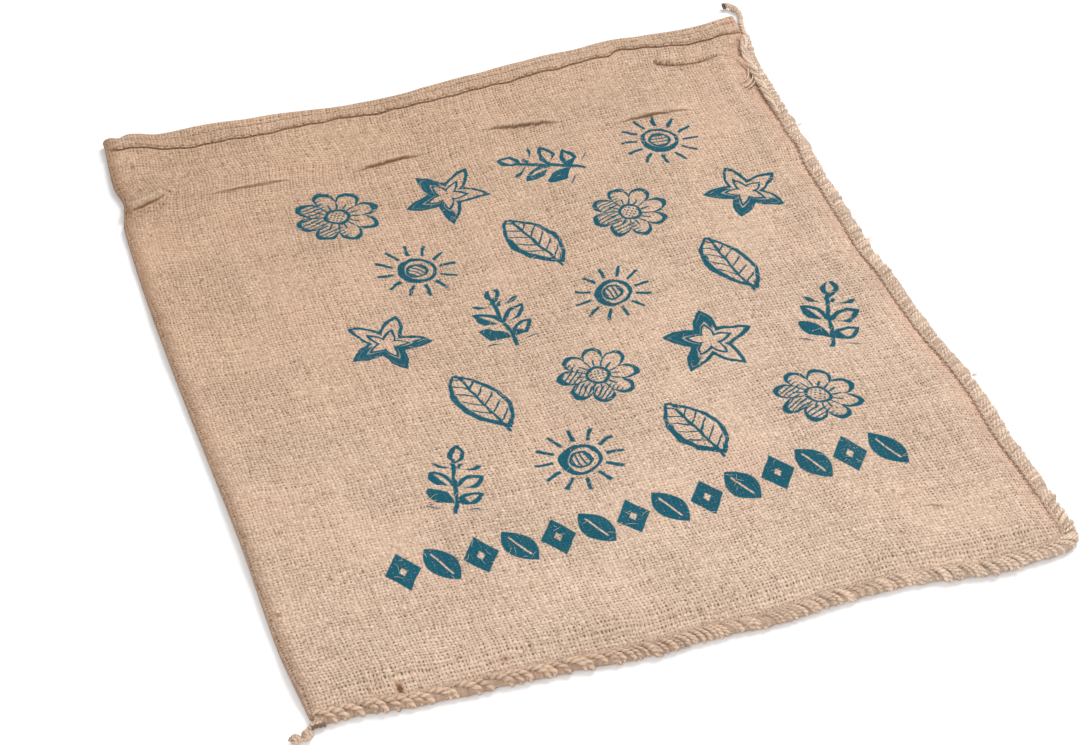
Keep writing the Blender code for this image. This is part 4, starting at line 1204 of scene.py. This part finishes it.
class SACK_OT_seams(bpy.types.Operator):
    """Sews the side and the bottom: rolled cloth edge, slanted overedge stitches and a chain line"""
    bl_idname = "sack.seams"
    bl_label = "Overedge seams"

    def execute(self, context):
        settings = context.scene.sack_seams
        seam = SeamLine()
        rng = np.random.default_rng(17)
        for name, node, start, end in (("side_stitches", "overedge_side", SEAM_START, SEAMS_MEET),
                                       ("bottom_stitches", "overedge_bottom", SEAMS_MEET, seam.length)):
            skin = Skin()
            self.roll(skin, seam, start, end)
            pitch, at, index = settings.pitch / MM, start + 1.0, 0
            while at < end - 1.0:
                self.stitch(skin, seam, at, settings.twine / MM / 2, rng, index)
                at += (pitch / 2.0 + (ROPE_PITCH - pitch / 2.0) * rope_share(at)) * rng.uniform(0.72, 1.28)
                index += 1
            self.chain(skin, seam, start, end, pitch)
            if node == "overedge_side":
                self.inner_thread(skin, seam, start, end, pitch)
                self.lead_in(skin, seam)
            material = shaded_bottom_twine(context) if node == "overedge_bottom" else twine(context)
            settle(skin.build(name, material), "twine", node)
        return {"FINISHED"}

    @staticmethod
    def roll(skin, seam, start, end):
        """The cloth edges rolled up under the stitches."""
        marks = np.arange(start, end, 1.6)
        angle = np.linspace(0, 2 * math.pi, 16, endpoint=False)
        size = 1.0 + 0.10 * np.sin(marks / 2.9) * np.sin(marks / 11.0) + 0.05 * np.sin(marks / 1.7)
        wide = (3.35 + 0.45 * (1.0 - bottom_share(marks)) + 0.30 * (1.0 - seam_relief(marks))) * size
        outward = 0.5 + np.cos(angle)[None, :] * wide[:, None] + edge_lump(marks)[:, None]
        height = 2.35 + np.sin(angle)[None, :] * (wide * 0.60)[:, None]
        points = seam.place(marks[:, None], outward, np.maximum(height, 0.05))
        # The rolled edge gets a low crest, lower still near the floor, so the twine's colour paints it in
        # shade.
        hollow = 0.20 * (0.3 + 0.7 * ease(height / 3.4))
        skin.tube(points, stacked(marks[:, None], hollow, ROLLED_EDGE))

    @staticmethod
    def stitch(skin, seam, at, radius, rng, index):
        """One stitch from the chain line over the edge and back beneath; outwards it leans back."""
        rope = rope_share(at)
        on_bottom, relief = bottom_share(at), seam_relief(at)
        slant = 0.75 + 0.55 * on_bottom
        lean = rng.normal(0, 0.75) + 1.1 * math.sin(at / 3.1)
        lift = rng.normal(0, 0.20) - 0.45 * (1.0 - relief)
        fine = np.array(FINE_STITCH) * (slant, 1.0, 1.0)
        route = fine + (np.array(ROPE_STITCH) - fine) * rope
        bulge = (edge_lump(at) + rng.normal(0, 0.30) + rope * (0.25 if index % 2 else -0.35)
                 - 0.35 * (1.0 - relief))
        outward = route[:, 1] + bulge * np.clip((route[:, 1] + 2.0) / 5.0, 0.0, 1.0)
        height = route[:, 2] + (lift + 0.25 - 0.55 * (1.0 - on_bottom)) * (route[:, 2] > 3)
        line = smooth_line(seam.place(at + route[:, 0] + lean, outward, height), 20)
        fat = radius * (1.0 + 0.50 * rope) * (1.0 + rng.normal(0, 0.22 - 0.10 * rope))
        arch = np.sin(np.linspace(0.25, math.pi - 0.2, len(line)))
        swell = fat * (0.74 + 0.20 * rope + (0.34 - 0.24 * rope) * arch)
        line[:, 2] = np.maximum(line[:, 2], swell * 0.8)
        number = index % 23 + 0.37 * (index % 5)
        add_strand(skin, line, swell, lay=5.0 + 3.0 * rope, sides=9, number=number)

    @staticmethod
    def chain(skin, seam, start, end, pitch):
        """The chain stitch that runs along the inside of the seam."""
        step = 1.05
        marks = np.arange(start + 1.0, end - 0.5, step)
        rope = rope_share(marks)
        wander = 0.35 * np.sin(marks / 19.0) + 0.25 * np.sin(marks / 7.3)
        turn = 2 * math.pi * np.cumsum(step / (pitch * 1.35 + 6.0 * rope))
        for number, phase in enumerate((0.0, math.pi)):
            outward = -4.0 + 0.6 * rope + wander + (0.62 + 0.15 * rope) * np.sin(turn + phase)
            height = 3.85 + 0.45 * np.cos(turn + phase) + 0.3 * rope
            add_strand(skin, seam.place(marks, outward, height), 0.82 + 0.22 * rope, lay=4.2, sides=7,
                       number=CHAIN + number)

    @staticmethod
    def inner_thread(skin, seam, start, end, pitch):
        """A thin brown thread that zigzags beside the chain stitch."""
        marks = np.arange(start + 6.0, end - 3.0, 0.8)
        zigzag = np.abs(np.mod(marks / pitch, 1.0) - 0.5) * 2.0
        outward = -6.3 + 1.35 * zigzag + 0.35 * np.sin(marks / 19.0)
        line = seam.place(marks, outward, 3.70 + 0.20 * zigzag)
        add_strand(skin, line, 0.44, lay=2.4, sides=6, number=INNER_THREAD)

    @staticmethod
    def lead_in(skin, seam):
        """The twine's loose start, which lies along the seam up to where the tail leaves it."""
        marks = np.linspace(118.0, SEAM_START - 0.5, 84)
        steps = marks[0] - marks
        lift = ease(steps / 30.0)
        outward = -3.4 + 2.2 * ease((60.0 - marks) / 45.0) + 3.0 * ease((34.0 - marks) / 14.0)
        height = 4.3 + 1.7 * lift + 0.8 * ease((52.0 - marks) / 14.0) - 3.0 * ease((28.0 - marks) / 10.0)
        centre = seam.place(marks, outward, height)
        _, side, up = spine_frames(centre)
        for ply in range(3):
            angle = 2 * math.pi * (steps / 25.0 + ply / 3.0) + 0.7 * np.sin(steps / 9.0 + ply)
            swing = ((0.5 + 1.15 * lift)[:, None] * side * np.cos(angle)[:, None]
                     + 0.8 * up * np.sin(angle)[:, None])
            add_strand(skin, centre + swing, 0.80 + 0.62 * lift, lay=5.0, number=ply + 12.0)


class SACK_OT_corner(bpy.types.Operator):
    """Ties the twine off at the bottom corner beside the fold"""
    bl_idname = "sack.corner"
    bl_label = "Corner knot"

    def execute(self, context):
        skin = Skin()
        rng = np.random.default_rng(5)
        neck = np.array([(6.0, -0.8, 3.2), (1.5, -1.6, 3.0), (-1.8, -3.4, 3.0), (-3.4, -6.2, 3.2)])
        for number, offset in enumerate(((0.0, 0.0, 0.0), (1.1, 0.8, 0.6), (-0.8, -1.1, 0.4))):
            add_strand(skin, smooth_line(neck + offset, 20), 1.35, lay=5.0, number=number + 3.0)
        # A dark strand painted as the shade under the knot's neck.
        shaded = np.array([(7.0, -3.2, 2.6), (4.0, -3.4, 3.0), (1.0, -3.5, 3.3), (-1.4, -4.6, 3.3)])
        add_strand(skin, smooth_line(shaded, 16), 1.5, lay=5.0, number=SHADED)
        turns = np.linspace(0, 2 * math.pi, 40)
        for centre, size, count in (((-4.4, -8.4, 3.2), 2.15, 5), ((-11.0, -9.0, 3.0), 1.9, 4)):
            for number in range(count):
                tilt = math.pi * number / count + 0.4
                ring = np.stack([np.cos(turns) * size * math.cos(tilt), np.sin(turns) * size,
                                 np.cos(turns) * size * math.sin(tilt) * 0.85], 1)
                add_strand(skin, np.array(centre) + ring, 1.35, lay=4.0, number=number + 9.0)
        link = np.array([(-5.5, -9.6, 3.0), (-8.0, -10.1, 2.9), (-10.4, -9.4, 2.9)])
        add_strand(skin, smooth_line(link, 14), 1.3, lay=4.5, number=15.0)
        for number in range(6):
            tip = np.array([(-12.2, -9.0, 3.0), (-13.6, -8.6 + rng.normal(0, 0.9), 3.2 + rng.normal(0, 0.5)),
                            (-14.6, -8.3 + rng.normal(0, 1.3), 3.0 + rng.normal(0, 0.7))])
            add_strand(skin, smooth_line(tip, 8), 0.5, lay=3.0, sides=6, number=20.0 + number,
                       taper=0.5)
        settle(skin.build("corner_tassel", shaded_bottom_twine(context)), "twine", "corner_knot")
        return {"FINISHED"}


class SACK_OT_hem(bpy.types.Operator):
    """Sews the hem: a line of short stitches in the groove and another along its middle"""
    bl_idname = "sack.hem"
    bl_label = "Hem stitching"

    def execute(self, context):
        skin = Skin()
        rng = np.random.default_rng(29)
        lines = ((HEM_WIDTH - 0.3, 3.4, 0.42), (HEM_MIDDLE, 2.6, 0.36))
        for row, (below, length, radius) in enumerate(lines):
            up = np.array([CLEAR_LENGTH - below])
            for index, column in enumerate(np.arange(10.0, 428.0, HEM_PITCH)):
                spread = np.linspace(-length / 2, length / 2, 5) + column
                x, y, top, _, _ = (grid[0] for grid in cloth_places(spread, up))
                arch = radius * (0.15 + 0.9 * np.sin(np.linspace(0, math.pi, len(spread))))
                wander = rng.normal(0, 0.18)
                line = np.stack([x, y + wander, top + arch], -1)
                add_strand(skin, line, radius, lay=2.4, sides=6, number=index % 17 + row * 20.0)
        settle(skin.build("hem_stitching", twine(context)), "twine")
        return {"FINISHED"}


class SACK_OT_fibres(bpy.types.Operator):
    """Scatters loose jute hairs over the cloth and along the seams, with a few longer tufts"""
    bl_idname = "sack.fibres"
    bl_label = "Loose fibres"

    def execute(self, context):
        settings = context.scene.sack_fibres
        skin = Skin()
        rng = np.random.default_rng(41)
        for _ in range(settings.on_cloth):
            x, y = rng.uniform(10, 428), rng.uniform(14, 528)
            self.lying_hair(skin, rng, x, y, rng.uniform(2.5, 8.0), 0.13)
        seam = SeamLine()
        for _ in range(settings.on_seams):
            along, outward = rng.uniform(SEAM_START, seam.length - 2), rng.uniform(-6.5, 3.6)
            root = seam.place(along, outward, 4.6 if outward < 2.5 else 3.2)
            away = np.array([rng.normal(0, 1.7), rng.normal(0, 1.7), rng.uniform(0.2, 1.5)])
            bend = away + np.array([rng.normal(0, 1.1), rng.normal(0, 1.1), rng.uniform(-0.6, 0.5)])
            self.hair(skin, [root, root + away, root + away + bend * 0.9], 0.10)
        self.tufts(skin, rng, seam)
        settle(skin.build("loose_fibres", twine(context, "Loose jute")), "hessian")
        return {"FINISHED"}

    @staticmethod
    def hair(skin, points, radius):
        """A thin tapering tube with three sides."""
        line = smooth_line(np.array(points), 5)
        line[:, 2] = np.clip(line[:, 2], radius, 14.0)
        _, side, up = spine_frames(line)
        thin = np.array([1.0, 1.0, 0.9, 0.65, 0.25])[:, None, None] * radius
        angle = np.radians((90, 210, 330))[None, :, None]
        ring = line[:, None, :] + thin * (np.cos(angle) * side[:, None, :] + np.sin(angle) * up[:, None, :])
        skin.tube(ring, stacked(np.broadcast_to(line[:, :1], ring.shape[:2]), 0.85, line[0, 1] % 23.0))

    def lying_hair(self, skin, rng, x, y, length, radius):
        """A bent hair on the front, from its root."""
        heading = rng.uniform(0, 2 * math.pi)
        turn = rng.normal(0, 0.5)
        px = x + np.array([0, math.cos(heading), math.cos(heading) + math.cos(heading + turn)]) * length / 2
        py = y + np.array([0, math.sin(heading), math.sin(heading) + math.sin(heading + turn)]) * length / 2
        px = np.clip(px, left_x(py) + 6.0, right_x(py) - 8.0)
        pz = height_on_cloth(px, py) + 0.18 + np.array([0.0, rng.uniform(0.1, 0.9), 0.1])
        self.hair(skin, np.stack([px, py, pz], 1), radius)

    def tufts(self, skin, rng, seam):
        """Lint caught on the side seam, and the slack loop of yarn below the mouth."""
        for at in TUFTS_AT:
            root = seam.place(at, 4.2, 3.2)
            out = seam.place(at, 9.0, 3.6) - root
            for _ in range(11):
                sway = np.array([rng.normal(0, 1.2), rng.normal(0, 1.2), rng.normal(0.4, 0.6)])
                end = root + out * rng.uniform(0.5, 0.95) + sway
                self.hair(skin, [root, root + out * 0.45 + sway * 0.5, end], 0.16)
        loop = np.array([(438.6, 502, 0.0), (438.8, 492, 0.0), (435.2, 480, 0.0), (429.6, 472, 0.0),
                         (424.5, 467, 0.0)])
        for number, shift in enumerate(((0.0, 0.0, 0.0), (-2.4, 0.6, 0.0), (-4.6, 3.6, 0.0))):
            line = smooth_line(loop + shift, 26)
            lift = 0.9 + 1.3 * np.sin(np.linspace(0.2, 2.9, 26))
            line[:, 2] = height_on_cloth(line[:, 0], line[:, 1]) + lift
            add_strand(skin, line, 0.86 - 0.08 * number, lay=3.4, sides=7, number=4.0 + number,
                       taper=0.45)


class SACK_OT_stage(bpy.types.Operator):
    """Lays the pale floor and sets the soft lamps round the sack"""
    bl_idname = "sack.stage"
    bl_label = "Stage"

    def execute(self, context):
        settings = context.scene.sack_stage
        material, tree, shader = new_material("Pale floor", 0.8, 0.0)
        grain = node_in(tree, "ShaderNodeTexNoise", {"Scale": 3.0, "Detail": 2.0})
        paler = [min(1.0, part * 1.02) for part in settings.floor]
        tint = blend(tree, grain.outputs["Fac"], settings.floor, paler)
        tree.links.new(tint, shader.inputs["Base Color"])
        mesh = bpy.data.meshes.new("floor")
        mesh.from_pydata([(-4, -4, 0), (4, -4, 0), (4, 6, 0), (-4, 6, 0)], [], [(0, 1, 2, 3)])
        mesh.materials.append(material)
        floor = bpy.data.objects.new("floor", mesh)
        context.scene.collection.objects.link(floor)
        self.lamp(context, "Key lamp", settings.key, 2.2, (2.4, 2.2, 3.3))
        self.lamp(context, "Fill lamp", settings.fill, 0.9, (-0.6, -1.55, 1.5))
        world = bpy.data.worlds.new("Soft room")
        world.use_nodes = True
        background = world.node_tree.nodes["Background"]
        background.inputs["Color"].default_value = (1.0, 1.0, 1.0, 1.0)
        background.inputs["Strength"].default_value = settings.sky
        context.scene.world = world
        context.scene.view_settings.view_transform = "Standard"
        return {"FINISHED"}

    @staticmethod
    def lamp(context, name, power, size, place):
        """A square soft lamp that points at the sack."""
        light = bpy.data.lights.new(name, "AREA")
        light.energy, light.size, light.shape = power, size, "SQUARE"
        lamp = bpy.data.objects.new(name, light)
        lamp.location = place
        lamp.rotation_euler = (-Vector(place)).to_track_quat("-Z", "Y").to_euler()
        context.scene.collection.objects.link(lamp)


class SACK_PT_panel(bpy.types.Panel):
    """Lists the sack's pieces and their settings"""
    bl_label = "Hessian Sack"
    bl_idname = "SACK_PT_panel"
    bl_space_type = "VIEW_3D"
    bl_region_type = "UI"
    bl_category = "Hessian Sack"

    def draw(self, context):
        layout, scene = self.layout, context.scene
        for heading, settings, operators in PANEL_ROWS:
            box = layout.box()
            box.label(text=heading)
            group_settings = getattr(scene, settings) if settings else None
            if group_settings:
                for key in group_settings.bl_rna.properties.keys():
                    if key not in ("rna_type", "name"):
                        box.prop(group_settings, key)
            for name in operators:
                box.operator(name)


PANEL_ROWS = (
    ("View", "", ("sack.camera",)),
    ("Cloth", "sack_cloth", ("sack.cloth", "sack.hem")),
    ("Print", "sack_print", ()),
    ("Seams and twine", "sack_seams", ("sack.tail", "sack.seams", "sack.corner")),
    ("Fibres", "sack_fibres", ("sack.fibres",)),
    ("Stage", "sack_stage", ("sack.stage",)),
)
SETTINGS = {"sack_cloth": ClothSettings, "sack_print": PrintSettings, "sack_seams": SeamSettings,
            "sack_fibres": FibreSettings, "sack_stage": StageSettings}
CLASSES = (*SETTINGS.values(), SACK_OT_camera, SACK_OT_tail, SACK_OT_cloth, SACK_OT_seams, SACK_OT_corner,
           SACK_OT_hem, SACK_OT_fibres, SACK_OT_stage, SACK_PT_panel)


def register():
    for made in CLASSES:
        bpy.utils.register_class(made)
    for name, settings in SETTINGS.items():
        setattr(bpy.types.Scene, name, PointerProperty(type=settings))


def unregister():
    for name in SETTINGS:
        delattr(bpy.types.Scene, name)
    for made in reversed(CLASSES):
        bpy.utils.unregister_class(made)


def main():
    register()
    bpy.ops.sack.camera()
    bpy.ops.sack.tail()
    bpy.ops.sack.stage()
    bpy.ops.sack.cloth()
    bpy.ops.sack.seams()
    bpy.ops.sack.corner()
    bpy.ops.sack.hem()
    bpy.ops.sack.fibres()


if __name__ == "__main__":
    main()
